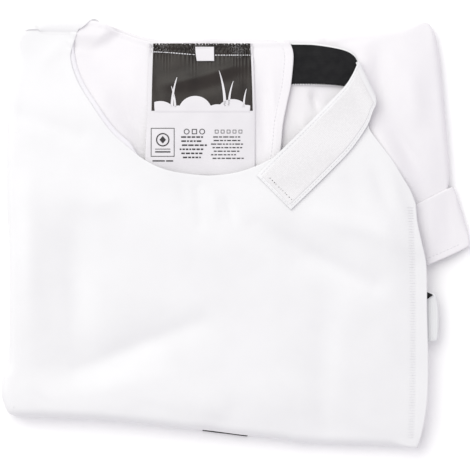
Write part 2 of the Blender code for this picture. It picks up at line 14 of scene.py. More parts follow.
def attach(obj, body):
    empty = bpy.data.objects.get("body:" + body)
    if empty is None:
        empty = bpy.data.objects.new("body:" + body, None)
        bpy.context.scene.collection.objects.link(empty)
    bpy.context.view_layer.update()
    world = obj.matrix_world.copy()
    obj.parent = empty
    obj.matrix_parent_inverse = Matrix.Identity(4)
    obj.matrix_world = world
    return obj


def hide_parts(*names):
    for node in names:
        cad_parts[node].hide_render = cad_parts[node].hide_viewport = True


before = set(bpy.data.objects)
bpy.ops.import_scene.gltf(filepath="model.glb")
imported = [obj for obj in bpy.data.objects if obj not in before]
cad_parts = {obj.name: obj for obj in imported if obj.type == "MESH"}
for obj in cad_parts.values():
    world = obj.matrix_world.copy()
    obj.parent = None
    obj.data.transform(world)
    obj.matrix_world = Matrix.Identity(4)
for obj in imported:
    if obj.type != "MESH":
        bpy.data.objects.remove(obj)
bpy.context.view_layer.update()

MM = 0.001

# Walls and gaps of the cloth
CLOTH_WALL = 2.0
SEAM_GAP = 0.3
HEM_ROUND = 1.0
HEM_TUCK = 4.5
SEAM_OVERLAP = 4.0
GROUND = 0.15

# Levels in the fold, measured down from the height of the stack
BACK_DEPTH = 5.0
FACING_DEPTH = 0.85
NECK_EDGE_DROP = 0.75
RIM_RISE = 2.3
RIM_SLOPE = 17.0
CORNER_RISE = 4.9

# Folds: how far a rolled edge reaches out beyond its crown
FRONT_REACH = 7.5
BACK_REACH = 4.5
SLEEVE_REACH = 6.0
CUFF_REACH = 5.0
LAYERS_REACH = 4.0

# Fineness of the nets
CLOTH_NET = 2.0
LABEL_NET = 0.75
EDGE_STEP = 1.7
ROLL_STEPS = 10

# Height of the folded stack at stations across (columns) and up (rows)
STATIONS_X = (-180, -158, -122, -80, -30, 40, 100, 150, 182)
STACK = (
    # y, height at each station
    (-165, (14, 15, 15.5, 16, 16.5, 16.5, 16, 13.5, 9)),
    (-132, (19, 22, 23, 23.5, 23.5, 22.5, 20.5, 16, 9)),
    (-100, (19, 21, 19.5, 21, 23, 23.5, 22, 16.5, 9)),
    (-60, (19.5, 22.5, 20, 22, 24, 25, 23.5, 17.5, 9)),
    (-10, (19.5, 23, 20.5, 23.5, 27, 27, 25, 17.8, 9.5)),
    (40, (18, 21, 22, 23.5, 23.5, 24.5, 24.5, 18, 10)),
    (90, (15.5, 18, 21, 23, 23.5, 23.5, 22.5, 18, 11)),
    (130, (13.5, 15, 17.5, 20.5, 21.5, 21.5, 20.5, 16.5, 11)),
    (165, (12.5, 13.5, 15, 16.5, 17, 17, 16, 14, 10)),
)

# How deep the sleeve lies under the stack height
SLEEVE_STATIONS_X = (35, 75, 110, 145, 180)
SLEEVE_DEPTHS = (
    # y, depth at each station
    (-20, (9.6, 9.6, 10.5, 10.5, 5.4)),
    (25, (9.6, 9.6, 8.0, 7.4, 5.2)),
    (60, (9.6, 8.4, 4.4, 3.4, 3.2)),
    (100, (9.6, 8.0, 3.6, 3.0, 3.0)),
    (150, (9.6, 9.0, 4.0, 3.0, 3.0)),
)

# Largest folds in the upper cloth, each along a chain of places: how far it spreads to each side
# there, and its rise
FOLDS = (
    # x, y, spread, rise at each place
    ((-122, -106, 10, -1.2), (-80, -90, 11, -1.7), (-27, -68, 11, -1.1)),
    ((66, 17, 12, 1.0), (84, 9, 12, 2.0), (116, 0, 12, 2.0), (137, -12, 11, 1.0)),
    ((17, 8, 12, -1.6), (50, -18, 13, -2.6), (106, -39, 13, -1.9)),
    ((-29, 36, 6, -0.9), (-27, 8, 6, -0.7)),
    ((-6, -156, 12, -1.4), (-4, -138, 12, -0.8)),
    ((-166, 92, 10, -1.0), (-120, 77, 10, -1.0)),
    ((73, -51, 18, -1.2), (70, -105, 18, -2.2), (67, -151, 16, -1.6)),
)

# Smaller creases of the front
FRONT_CREASES = (
    # x0, y0, x1, y1, spread, rise
    (-164, 62, -158, -98, 17, 2.4),
    (-126, 10, -119, -98, 17, -2.2),
    (-166, 42, -22, -8, 24, 2.3),
    (-150, -114, -18, -63, 24, -2.2),
    (24, 6, 104, -40, 24, -2.3),
    (112, 20, 130, -40, 14, 1.2),
    (-66, 70, -40, 20, 16, 1.0),
    (-140, 20, -60, 8, 18, -0.9),
    (-150, -124, -40, -106, 13, 1.1),
    (-118, -102, -34, -70, 12, -0.4),
    (-8, 31, 0, 8, 5, -0.8),
    (-18, 32, -14, 12, 5, 0.6),
    (-44, 38, -36, 24, 6, -0.5),
    (-134, 148, -150, 132, 8, 0.5),
    (-108, 24, -84, 30, 9, 0.3),
    (20, 8, 96, -36, 12, -1.0),
    (44, -120, 56, -150, 11, -0.5),
    (78, -60, 80, -140, 14, 0.8),
    (108, -62, 126, -104, 12, 0.5),
    (84, 44, 98, 26, 8, -0.7),
    (102, 58, 120, 22, 7, -0.9),
    (116, 56, 134, 4, 8, 1.1),
    (-80, -130, -40, -138, 8, -0.5),
    (96, -140, 120, -156, 9, 0.5),
    (-158, -122, -140, -134, 7, -0.5),
    (-20, -140, -8, -152, 8, -0.8),
)

# Gathers where the neckline meets the shoulder seam
NECK_PUCKERS = (
    (-128, 157, -121, 153.5, 1.6, 0.8),
    (-129, 153.5, -123, 150.5, 1.5, -0.8),
    (-130, 149.5, -124, 147.4, 1.5, 0.7),
    (-131, 146, -125.5, 144.4, 1.4, -0.6),
    (-131.5, 142.4, -126.5, 141.4, 1.5, 0.5),
)

# Creases of the back's inner side, seen in the neck
BACK_CREASES = (
    (20, 130, 24, 56, 8, -3.0),
    (28, 134, 30, 70, 5, 1.0),
    (-114, 140, -98, 104, 9, 1.0),
    (-80, 132, -76, 100, 8, 0.7),
)

# Hollow of the back beside the label and under its left edge
LABEL_HOLLOW = ((-88, 112, -62, 48, 17, -5.6),)

# Creases of the sleeve
SLEEVE_CREASES = (
    (67, 149, 78, 145.6, 4, -1.7),
    (85, 150, 108, 155.5, 4.5, -1.7),
    (106, 155.5, 116, 157.5, 4, -1.2),
    (110, 148, 113, 92, 11, -4.0),
    (97, 138, 99, 100, 7, 1.2),
    (134, 126, 142, 84, 12, 2.4),
    (114, 96, 150, 36, 9, -3.2),
    (103, 88, 139, 30, 7, 1.7),
    (150, 142, 156, 80, 12, -1.2),
    (60, 112, 64, 96, 5, -2.8),
    (51, 92, 58, 68, 6, 1.2),
)

# Creases of the cuff band
CUFF_CREASES = (
    (150, 30, 154, -16, 6, 0.7),
    (162, 34, 168, -8, 6, -0.7),
    (141, 14, 146, -20, 5, -0.6),
)

# How deep the creases are laid, against their rises above
FRONT_CREASE_DEPTH = 1.45
SLEEVE_CREASE_DEPTH = 1.25

# Edges of the cloth in plan
LEFT_FOLD = (
    (-166, 155), (-167.5, 152), (-168.6, 148), (-169.5, 137), (-172.5, 120), (-176, 97), (-177.5, 35),
    (-175.5, -4), (-175, -50), (-176, -97), (-180, -109), (-181.5, -120), (-180.6, -127),
    (-178.4, -133.5), (-175.4, -138.5), (-170, -141),
)
BOTTOM_FOLD = (
    (-170, -141), (-136, -142), (-105, -143.5), (-74, -146.5), (-43, -150), (-23, -151.5),
    (4, -155), (35, -158.5), (50, -161), (81, -162.5), (112, -163.5), (141.5, -165.5),
)
FRONT_HEM = (
    (143.2, -160), (147, -142), (149, -124), (149.5, -99), (148.5, -58), (148, -24),
    (144.5, -6.5), (141, 10), (139.7, 24),
)
ARMHOLE = ((139.7, 24), (135.5, 34.5), (129, 45.5), (121.5, 58), (112, 70.5), (104.5, 80.5), (102, 88))
SHOULDER_TIP = ((102, 90), (84.5, 110))
HEM_SEAM = ((135.2, 21), (136.8, -20), (137.4, -70), (137.2, -115), (136, -157))
FRONT_NECKLINE = (
    (83.5, 110.5), (73.5, 99.5), (54, 79), (38.5, 65.5), (20.5, 55), (0, 48), (-23.5, 46),
    (-50.5, 49.5), (-68.5, 57), (-83, 68), (-97, 81), (-112.5, 103), (-120.5, 116),
    (-125.5, 128), (-127.5, 138), (-125.5, 147), (-122.5, 156),
)
SHOULDER_SEAM = ((-122.5, 157.6), (-126.5, 158.6), (-143.5, 159.2), (-152, 159), (-158.5, 158.4), (-163.4, 157))

SHOULDER_FOLD = (
    (-99, 163), (-104, 164.6), (-111, 166), (-120, 166.2), (-134, 166.2), (-145, 166),
    (-151.3, 164.6), (-157.5, 161.6), (-160.5, 160.2), (-163.5, 158.6),
)
SEAM_OVER = ((-164.5, 155.2), (-158.5, 158), (-152, 159), (-143.5, 159.3), (-126.5, 158.9), (-99, 158))
BACK_NECK_EDGE = (
    (41, 149.6), (11.5, 149.3), (-19.5, 148.2), (-43, 146.8), (-58.5, 147.8), (-71.5, 151),
    (-85.5, 155.6), (-93, 158.4),
)
BACK_SIDE_HEM = (
    (33, 52), (35.5, 67), (37, 85), (40, 100.6), (43.2, 116), (45.1, 135.4), (44.6, 143),
    (42.4, 148.6),
)
BACK_HIDDEN = (
    (-158.5, 149), (-150, 141), (-138, 128), (-128, 108), (-112, 84), (-94, 62), (-78, 50),
    (-58, 39), (-30, 33), (-2, 34), (26, 40),
)

SLEEVE_TOP = (
    (155.6, 154), (153, 160), (149, 164.6), (144.5, 165), (139.3, 163.2), (127.7, 161),
    (112, 158.7), (96.7, 156.7), (73.5, 154.8), (38, 151.3),
)
SLEEVE_SIDE = (
    (164.4, 32), (165, 36.5), (166.2, 41), (166.4, 48), (165.7, 58), (163.3, 85), (161, 112),
    (158.7, 135.4), (155.6, 154),
)
SLEEVE_HIDDEN = (
    (33, 140), (33, 120), (27, 90), (26, 56), (40, 50), (56, 62), (74, 76), (90, 74), (106, 62),
    (118, 46), (129, 28), (138, 14.5), (150, 20.5), (160, 24),
)

CUFF_SIDE = ((181.9, -8.7), (181.9, -4.8), (180.2, 3), (176.8, 15.3), (173, 27), (169.6, 37.2))
CUFF_MOUTH = ((139, -27), (150, -23.2), (162.6, -18), (176.6, -11.6))
CUFF_HIDDEN = ((132, 19.5), (134.5, -5))
CUFF_TOP = ((164.6, 35.8), (156.4, 31.8), (147, 27), (139.5, 23.5))

LAYERS_RIGHT = (
    (141.6, -153), (144.5, -142), (146.6, -120), (147, -60), (146.2, -32), (148, -22),
    (153.5, -11), (156, 2), (157, 18),
)
LAYERS_TOP = (
    (34, 151), (15, 151.5), (-19.5, 151), (-43, 149.4), (-58.5, 150.6), (-71.5, 154),
    (-85.5, 159), (-97, 162.6), (-110, 163.8), (-145, 163.8), (-151, 161.6),
    (-156, 158.8), (-160.5, 156), (-163.5, 153),
)

# Sections along the straps: the two edges in plan, and the top's level against the stack height
ELASTIC_SECTIONS = (
    # upper x, upper y, lower x, lower y, level
    (35.5, 147.6, 33.5, 117, -7.3),
    (46, 147.4, 44, 117, -7.3),
    (61, 147, 60, 117, -6.6),
    (76, 144.8, 74.5, 116.4, -5.4),
    (86, 142.2, 84, 115.6, -4.4),
    (92, 138.4, 89, 114.6, -3.9),
    (95, 133.4, 91, 114.2, -3.7),
)
STRAP_SECTIONS = (
    (16.5, 46, 43, 19.4, 2.3),
    (27, 57, 54, 30, 2.3),
    (50, 79.4, 74, 49.6, 2.3),
    (65.5, 95, 89.5, 66, 2.4),
    (83.5, 113.6, 101.5, 83.4, 3.2),
    (90, 123, 106, 94.5, 4.2),
    (94, 131, 108.9, 101.2, 3.6),
    (95.8, 134.2, 108.9, 106.4, 1.6),
    (95.4, 134.4, 108.4, 107.2, -0.8),
    (94, 133.4, 106.4, 107, -2.6),
)

LABEL_ROWS = (
    # y, left x, right x
    (148.2, -66.8, 13.4),
    (132, -67.2, 14.2),
    (112, -67.7, 14.9),
    (95, -68.0, 15.3),
    (76, -69.0, 15.3),
    (56, -69.9, 15.3),
    (46, -70.0, 15.3),
)
TAG_ROWS = ((145.5, -31.0, -16.4), (140, -30.6, -16.4), (134.4, -29.8, -16.3))

WAIST_TOP, WAIST_LOW = -45.5, -84.0
WAIST_TIP = 158.0
WAIST_ROOT = 141.0
WAIST_THICK = 3.6
WAIST_DEPTH = 7.4
LOWER_STRIP = ((-25.5, -152.2), (9.5, -156.6))
LOWER_SHOWN = 0.2
LOWER_TUCKED = 4.2

# Hems and sewing
HEM_SEAM_DEPTH = 0.25
HEM_SEAM_SPREAD = 5.0
COVER_STITCH_HALF = 2.7
BACK_HEM_WIDTH = 7.0
BACK_NECK_HEM_WIDTH = 3.6
NECK_BAND_WIDTH = 4.0
CUFF_HEM_WIDTH = 5.0
STITCH_PITCH = 3.0
STITCH_LENGTH = 2.3
THREAD_RADIUS = 0.22

# Printed fields of the neck label
LABEL_MARGIN = 3.4
DARK_FIELD_FOOT = 95.3
LABEL_SEAM_Y = 139.0
LABEL_SEAM_DROP = 2.6
PRINT_LIFT = 0.2
LABEL_FOLDS = (
    # x0, y0, x1, y1, spread, rise
    (10, 133, -24, 124, 7, 2.0),
    (-14, 125, -60, 115, 7, 1.8),
    (4, 121, -46, 106, 7, -0.8),
    (-64, 132, -58, 104, 5, -0.5),
    (8, 126, 9, 100, 5, -0.5),
)

# The photograph's frame: what one pixel is at the object, and the point at its centre
PHOTO_PIXELS = 470
PIXEL_MM = 0.775
VIEW_CENTRE = (-0.2, -0.2)
VIEW_PLANE = 12.0
CAMERA_HEIGHT = 4000.0
SENSOR = 36.0


def smooth(value):
    """A soft step from 0 to 1."""
    value = np.clip(value, 0.0, 1.0)
    return value * value * (3 - 2 * value)


def spline(a, b, c, d, t):
    """Catmull-Rom values between b and c."""
    return b + 0.5 * t * (c - a + t * (2 * a - 5 * b + 4 * c - d + t * (3 * (b - c) + d - a)))


def between(stations, values, x):
    """The smooth values at x of a row of values, or of one row for each x, at uneven stations."""
    stations, values = np.asarray(stations, float), np.asarray(values, float)
    last = len(stations) - 1
    x = np.clip(x, stations[0], stations[-1])
    i = np.clip(np.searchsorted(stations, x, "right") - 1, 0, last - 1)
    t = (x - stations[i]) / (stations[i + 1] - stations[i])

    def pick(k):
        k = np.clip(k, 0, last)
        return values[k] if values.ndim == 1 else values[k, np.arange(len(x))]

    return spline(pick(i - 1), pick(i), pick(i + 1), pick(i + 2), t)


def table_height(stations, rows, x, y):
    """The smooth heights at (x, y) of a table with one row of heights for each y."""
    columns = [between(stations, heights, x) for _, heights in rows]
    return between([row[0] for row in rows], columns, y)


def relief(lines, x, y):
    """The sum of soft troughs and ridges along straight lines."""
    total = np.zeros_like(x)
    for x0, y0, x1, y1, spread, rise in lines:
        length = math.hypot(x1 - x0, y1 - y0)
        along = ((x - x0) * (x1 - x0) + (y - y0) * (y1 - y0)) / length
        across = ((x - x0) * (y1 - y0) - (y - y0) * (x1 - x0)) / length
        taper = 0.5 * length + spread
        ends = smooth((along + spread) / taper) * smooth((length + spread - along) / taper)
        total += rise * ends * np.exp(-2.0 * (across / spread) ** 2)
    return total


def unevenness(x, y, size, rise, seed):
    """Slow random swell of hand-laid cloth."""
    return rise * np.array([noise.noise(Vector((a / size, b / size, seed))) for a, b in zip(x, y)])


def fold_relief(x, y):
    """The sum of the largest folds."""
    total = np.zeros_like(x)
    for chain in FOLDS:
        xs, ys, spreads, rises = np.array(chain, float).T
        away, place = nearest_on_chain(list(zip(xs, ys)), x, y)
        walked = np.concatenate([[0], np.cumsum(np.hypot(np.diff(xs), np.diff(ys)))])
        spread = np.interp(place, walked, spreads)
        total += np.interp(place, walked, rises) * np.exp(-2.0 * (away / spread) ** 2)
    return total


def stack_height(x, y):
    return table_height(STATIONS_X, STACK, x, y) + fold_relief(x, y)


def sleeve_base(x, y):
    return stack_height(x, y) - table_height(SLEEVE_STATIONS_X, SLEEVE_DEPTHS, x, y)


def nearest_on_chain(chain, x, y):
    """The distance of each (x, y) to a chain, and how far along the chain its nearest spot is."""
    distance, place, walked = np.full(len(x), 1e9), np.zeros(len(x)), 0.0
    for (x0, y0), (x1, y1) in zip(chain, chain[1:]):
        dx, dy = x1 - x0, y1 - y0
        t = np.clip(((x - x0) * dx + (y - y0) * dy) / (dx * dx + dy * dy), 0, 1)
        here = np.hypot(x0 + dx * t - x, y0 + dy * t - y)
        length = math.hypot(dx, dy)
        nearer = here < distance
        distance = np.where(nearer, here, distance)
        place = np.where(nearer, walked + length * t, place)
        walked += length
    return distance, place


def hem(chain, width, x, y, thick=0.22, groove=0.3):
    """The raised double cloth of a hem along its edge, and the sewn groove at its inner side."""
    distance, place = nearest_on_chain(chain, x, y)
    pull = 0.75 + 0.25 * np.cos(2 * math.pi * place / STITCH_PITCH)
    sewn = groove * pull * np.exp(-((distance - width) / 0.9) ** 2)
    return thick * smooth((width + 0.6 - distance) / 1.2) - sewn


def path(points, step=EDGE_STEP):
    """Points about a step apart on the smooth curve through the given ones."""
    ends = [points[0], *points, points[-1]]
    dense = []
    for a, b, c, d in zip(ends, ends[1:], ends[2:], ends[3:]):
        dense += [(spline(a[0], b[0], c[0], d[0], k / 8), spline(a[1], b[1], c[1], d[1], k / 8))
                  for k in range(8)]
    dense.append(points[-1])
    dense = np.array(dense, float)
    walked = np.concatenate([[0], np.cumsum(np.hypot(*np.diff(dense, axis=0).T))])
    stops = np.linspace(0, walked[-1], max(1, round(walked[-1] / step)) + 1)
    return [(np.interp(s, walked, dense[:, 0]), np.interp(s, walked, dense[:, 1])) for s in stops]


def loop_normals(loop):
    """For a closed loop walked counter-clockwise, the unit normals that point out of it."""
    loop = np.asarray(loop, float)
    along = np.roll(loop, -1, 0) - np.roll(loop, 1, 0)
    along /= np.maximum(np.hypot(*along.T), 1e-9)[:, None]
    return np.stack([along[:, 1], -along[:, 0]], 1)


def soften(values, passes=4):
    """A closed row of values with its steps eased."""
    for _ in range(passes):
        values = (np.roll(values, 1, 0) + 2 * values + np.roll(values, -1, 0)) / 4
    return values


def ease_corners(points, reach, least=HEM_ROUND, span=3):
    """Let the reach shrink towards each sharp corner, so that the rounded edge doesn't fold over."""
    ahead = np.roll(points, -span, 0) - points
    behind = points - np.roll(points, span, 0)
    turn = np.abs(np.angle(np.exp(1j * (np.arctan2(*ahead.T[::-1]) - np.arctan2(*behind.T[::-1])))))
    sharp = np.flatnonzero(turn > math.radians(38))
    if not len(sharp):
        return reach
    gap = np.abs(np.arange(len(points))[:, None] - sharp[None, :])
    steps = np.minimum(gap, len(points) - gap).min(1)
    return np.minimum(reach, np.minimum(least, reach) + 0.42 * EDGE_STEP * np.maximum(steps - span, 0))


def closed_edge(*runs):
    """One closed edge from runs of (points, reach, drop), without doubled corner points.

    The reach is how far the edge rounds out. The drop is how far down it goes, and None is to
    the ground.
    """
    points, reach, drop = [], [], []
    for chain, out, down in runs:
        for x, y in chain:
            if points and math.hypot(x - points[-1][0], y - points[-1][1]) < 0.4:
                continue
            points.append((x, y))
            reach.append(out)
            drop.append(1000.0 if down is None else down)
    if math.dist(points[0], points[-1]) < 0.4:
        points, reach, drop = points[:-1], reach[:-1], drop[:-1]
    return np.array(points), np.array(reach, float), np.array(drop, float)


def inside_ring(ring, x, y):
    """Which of the spots lie inside a closed ring."""
    crossings = np.zeros(len(x), int)
    for (x0, y0), (x1, y1) in zip(ring, np.roll(ring, -1, 0)):
        if y0 != y1:
            crossings += ((y0 > y) != (y1 > y)) & (x < (x1 - x0) * (y - y0) / (y1 - y0) + x0)
    return crossings % 2 == 1


def flat_net(ring, step):
    """Points and triangles of a flat shape: the ring's own points come first, in order."""
    ring = np.asarray(ring, float)
    low, high = ring.min(0), ring.max(0)
    rows = np.arange(low[1] + step / 2, high[1], step * math.sqrt(3) / 2)
    spots = [(x, y) for k, y in enumerate(rows)
             for x in np.arange(low[0] + step * (0.25 + 0.5 * (k % 2)), high[0], step)]
    x, y = np.array(spots, float).reshape(-1, 2).T
    distance, _ = nearest_on_chain([*ring, ring[0]], x, y)
    kept = inside_ring(ring, x, y) & (distance > 0.55 * step)
    flat = np.vstack([ring, np.column_stack([x[kept], y[kept]])])
    edges = [(k, (k + 1) % len(ring)) for k in range(len(ring))]
    _, _, faces, origins, _, _ = geometry.delaunay_2d_cdt(
        [Vector(p) for p in flat], edges, [], 1, 1e-5, True)
    number = {k: sources[0] for k, sources in enumerate(origins) if sources}
    faces = np.array([[number[k] for k in face] for face in faces if all(k in number for k in face)])
    middle = flat[faces].mean(1)
    return flat, faces[inside_ring(ring, *middle.T)].tolist()


def make_piece(name, points, faces, material, replaces=()):
    """A named mesh piece from points in millimetres."""
    mesh = bpy.data.meshes.new(name)
    mesh.from_pydata((np.asarray(points, float) * MM).tolist(), [], faces)
    mesh.materials.append(material)
    mesh.shade_smooth()
    piece = bpy.data.objects.new(name, mesh)
    bpy.context.scene.collection.objects.link(piece)
    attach(piece, "root")
    if replaces:
        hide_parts(*replaces)
    return piece


def cloth_shell(edge, height_at, step, tuck=HEM_TUCK):
    """A cloth surface whose edge all round is rounded over and tucked under."""
    points, reach, drop = edge
    out = loop_normals(points)
    reach = soften(ease_corners(points, reach))
    crown = points - out * reach[:, None]
    flat, faces = flat_net(crown, step)
    x, y = flat.T
    z = height_at(x, y)
    count = len(crown)
    top = z[:count]
    fall = np.minimum(soften(np.minimum(drop, top - GROUND)), top - GROUND)
    verts = [np.stack([x, y, z], 1)]
    for k in range(1, ROLL_STEPS + 1):
        turn = math.pi * k / ROLL_STEPS
        spot = crown + out * (reach * math.sin(turn))[:, None]
        verts.append(np.column_stack([spot, top - fall * (1 - math.cos(turn)) / 2]))
    under = crown - out * (tuck if np.ndim(tuck) == 0 else np.asarray(tuck)[:, None])
    verts.append(np.column_stack([under, top - fall]))
    rings = [list(range(count))]
    first = len(flat)
    for _ in range(ROLL_STEPS + 1):
        rings.append(list(range(first, first + count)))
        first += count
    for inner, outer in zip(rings, rings[1:]):
        for k in range(count):
            n = (k + 1) % count
            faces.append([inner[k], outer[k], outer[n], inner[n]])
    return np.concatenate(verts), faces


def strip_faces(rows, columns):
    """Faces of a grid of points."""
    return [[r * columns + c, (r + 1) * columns + c, (r + 1) * columns + c + 1, r * columns + c + 1]
            for r in range(rows - 1) for c in range(columns - 1)]


def thicken(piece, wall, round_edge=0.45):
    """Give a strip its wall, inward, and soft edges."""
    solid = piece.modifiers.new("Wall", "SOLIDIFY")
    solid.thickness = wall * MM
    solid.offset = -1.0
    solid.use_even_offset = True
    bevel = piece.modifiers.new("Soft edge", "BEVEL")
    bevel.width = wall * round_edge * MM
    bevel.segments = 3
    bevel.limit_method = "ANGLE"
    bevel.angle_limit = math.radians(50)
    return piece


def strip_piece(name, rows, material, wall, replaces=()):
    """A thick strip through rows of points, its outer side up."""
    columns = len(rows[0])
    points = np.array([p for row in rows for p in row])
    faces = strip_faces(len(rows), columns)
    a, b, c = (points[k] for k in faces[0][:3])
    if np.cross(b - a, c - a)[2] < 0:
        faces = [face[::-1] for face in faces]
    return thicken(make_piece(name, points, faces, material, replaces), wall)


def dense_sections(sections, parts):
    """Sections of a strap with smooth ones put between them."""
    table = np.array(sections, float)
    ends = np.vstack([table[0], table, table[-1]])
    rows = [spline(a, b, c, d, k / parts)
            for a, b, c, d in zip(ends, ends[1:], ends[2:], ends[3:]) for k in range(parts)]
    return [*rows, table[-1]]


def strap_rows(sections, parts, across, edges=(0.0, 1.0), ends=(0.0, 1.0), lift=0.0):
    """Rows of points over a strap's sections, or over a field inside it."""
    dense = dense_sections(sections, parts)
    first, last = (round(share * (len(dense) - 1)) for share in ends)
    rows = []
    for x0, y0, x1, y1, level in dense[first:last + 1]:
        t = np.linspace(edges[0], edges[1], across + 1)
        x, y = x0 + (x1 - x0) * t, y0 + (y1 - y0) * t
        rows.append(np.column_stack([x, y, stack_height(x, y) + level + lift]))
    return rows


def thread_piece(name, spans, material, radius=THREAD_RADIUS):
    """Short lengths of thread as one piece, each from one point to another, sunk in at its ends."""
    rings = ((0.0, 0.3, -0.5), (0.18, 0.95, 0.3), (0.5, 1.1, 0.7), (0.82, 0.95, 0.3), (1.0, 0.3, -0.5))
    sides = 6
    points, faces = [], []
    for start, stop in spans:
        along = (stop - start) / np.linalg.norm(stop - start)
        side = np.cross(along, (0, 0, 1))
        side /= np.linalg.norm(side)
        up = np.cross(side, along)
        base = len(points)
        for share, wide, rise in rings:
            middle = start * (1 - share) + stop * share + up * rise * radius
            for k in range(sides):
                turn = 2 * math.pi * k / sides
                points.append(middle + radius * wide * (side * math.cos(turn) + up * math.sin(turn)))
        for ring in range(len(rings) - 1):
            for k in range(sides):
                a, b = base + ring * sides + k, base + ring * sides + (k + 1) % sides
                faces.append([a, b, b + sides, a + sides])
        faces.append([base + k for k in reversed(range(sides))])
        faces.append([base + (len(rings) - 1) * sides + k for k in range(sides)])
    return make_piece(name, points, faces, material)


def stitches(name, rows, material, pitch=STITCH_PITCH, length=STITCH_LENGTH,
             radius=THREAD_RADIUS):
    """Rows of thread stitches as one piece. A row is a list of points on the cloth."""
    spans = []
    for row in rows:
        row = np.asarray(row, float)
        walked = np.concatenate([[0], np.cumsum(np.linalg.norm(np.diff(row, axis=0), axis=1))])
        for start in np.arange(pitch / 2, walked[-1] - length, pitch):
            spans.append([np.array([np.interp(s, walked, row[:, k]) for k in range(3)])
                          for s in (start, start + length)])
    return thread_piece(name, spans, material, radius)


def inset_chain(chain, inset):
    """A chain moved in from an edge that has its cloth on the left."""
    chain = np.asarray(chain, float)
    along = np.gradient(chain, axis=0)
    along /= np.hypot(*along.T)[:, None]
    return chain - np.stack([along[:, 1], -along[:, 0]], 1) * inset


def on_cloth(chain, height_at, lift=0.05):
    """A plan chain laid on the cloth."""
    chain = np.asarray(chain, float)
    return np.column_stack([chain, height_at(chain[:, 0], chain[:, 1]) + lift])


# Materials

def linear(colour):
    """An sRGB hex colour as linear red, green, blue and alpha."""
    parts = [int(colour[k:k + 2], 16) / 255 for k in (1, 3, 5)]
    return (*[c / 12.92 if c <= 0.04045 else ((c + 0.055) / 1.055) ** 2.4 for c in parts], 1.0)


def add(tree, kind, settings=(), links=()):
    """Add a node, set its properties and sockets, and link its inputs."""
    node = tree.nodes.new(kind)
    for name, value in dict(settings).items():
        if isinstance(name, str) and hasattr(node, name):
            setattr(node, name, value)
        else:
            node.inputs[name].default_value = value
    for name, source in dict(links).items():
        tree.links.new(source, node.inputs[name])
    return node


def finish_material(name, roughness, sheen=0.0, ior=1.5):
    """A new material with its shader's plain values set."""
    material = bpy.data.materials.new(name)
    material.use_nodes = True
    shader = material.node_tree.nodes["Principled BSDF"]
    shader.inputs["Roughness"].default_value = roughness
    shader.inputs["Sheen Weight"].default_value = sheen
    shader.inputs["Sheen Roughness"].default_value = 0.5
    shader.inputs["IOR"].default_value = ior
    return material, material.node_tree, shader


def woven(name, light, dark, thread, roughness, sheen=0.15, turn=45.0, depth=0.06, mottle=30.0,
          ior=1.5):
    """Woven cloth: threads at their spacing as fine relief, and a slow change of colour."""
    material, tree, shader = finish_material(name, roughness, sheen, ior)
    spot = add(tree, "ShaderNodeTexCoord").outputs["Object"]
    turned = add(tree, "ShaderNodeMapping", {"Rotation": (0, 0, math.radians(turn))}, {"Vector": spot})
    ribs = add(tree, "ShaderNodeTexWave", {"Scale": 0.31 / (thread * MM), "Distortion": 0.6,
                                           "Detail": 2.0}, {"Vector": turned.outputs["Vector"]})
    slub = add(tree, "ShaderNodeTexNoise", {"Scale": 0.4 / (thread * MM), "Detail": 3.0}, {"Vector": spot})
    both = add(tree, "ShaderNodeMath", {"operation": "ADD"},
               {0: ribs.outputs["Fac"], 1: slub.outputs["Fac"]})
    bump = add(tree, "ShaderNodeBump", {"Strength": 0.35, "Distance": depth * MM},
               {"Height": both.outputs["Value"]})
    cloud = add(tree, "ShaderNodeTexNoise", {"Scale": 1 / (mottle * MM), "Detail": 4.0}, {"Vector": spot})
    ramp = add(tree, "ShaderNodeValToRGB", (), {"Fac": cloud.outputs["Fac"]})
    ramp.color_ramp.elements[0].position = 0.3
    ramp.color_ramp.elements[0].color = linear(dark)
    ramp.color_ramp.elements[1].position = 0.7
    ramp.color_ramp.elements[1].color = linear(light)
    tree.links.new(ramp.outputs["Color"], shader.inputs["Base Color"])
    tree.links.new(bump.outputs["Normal"], shader.inputs["Normal"])
    return material


def hook_tape_field():
    """Nylon hook tape, woven then cut: rows of tiny stiff hooks give a grey, stubbly, dry face."""
    material, tree, shader = finish_material("nylon_hook_tape", 0.6)
    spot = add(tree, "ShaderNodeTexCoord").outputs["Object"]
    turned = add(tree, "ShaderNodeMapping", {"Rotation": (0, 0, math.radians(46))}, {"Vector": spot})
    hooks = add(tree, "ShaderNodeTexVoronoi", {"Scale": 1 / (1.3 * MM), "Randomness": 0.3},
                {"Vector": turned.outputs["Vector"]})
    ramp = add(tree, "ShaderNodeValToRGB", (), {"Fac": hooks.outputs["Distance"]})
    ramp.color_ramp.elements[0].position = 0.15
    ramp.color_ramp.elements[0].color = linear("#e5e4e5")
    ramp.color_ramp.elements[1].position = 0.75
    ramp.color_ramp.elements[1].color = linear("#d7d6d7")
    bump = add(tree, "ShaderNodeBump", {"Strength": 0.35, "Distance": 0.2 * MM, "invert": True},
               {"Height": hooks.outputs["Distance"]})
    tree.links.new(ramp.outputs["Color"], shader.inputs["Base Color"])
    tree.links.new(bump.outputs["Normal"], shader.inputs["Normal"])
    return material


# Heavy polyester twill, woven tight and heat set: matte white with a fine diagonal rib
TWILL = woven("polyester_twill", "#e5e5e6", "#e2e2e3", 0.9, 0.85)
# The same twill with painted shade: a touch more violet, standing in for the lesser light on its inner side and
# on the pieces that lie under the front
SHADED_TWILL = woven("polyester_twill_painted_shade", "#e7e5e7", "#e3e1e4", 0.9, 0.88, turn=-45.0)
# Cotton and polyester binding tape, woven plain: slightly greyer and flatter
BINDING = woven("cotton_binding_tape", "#e6e5e8", "#e1dfe4", 0.6, 0.85, turn=0.0)
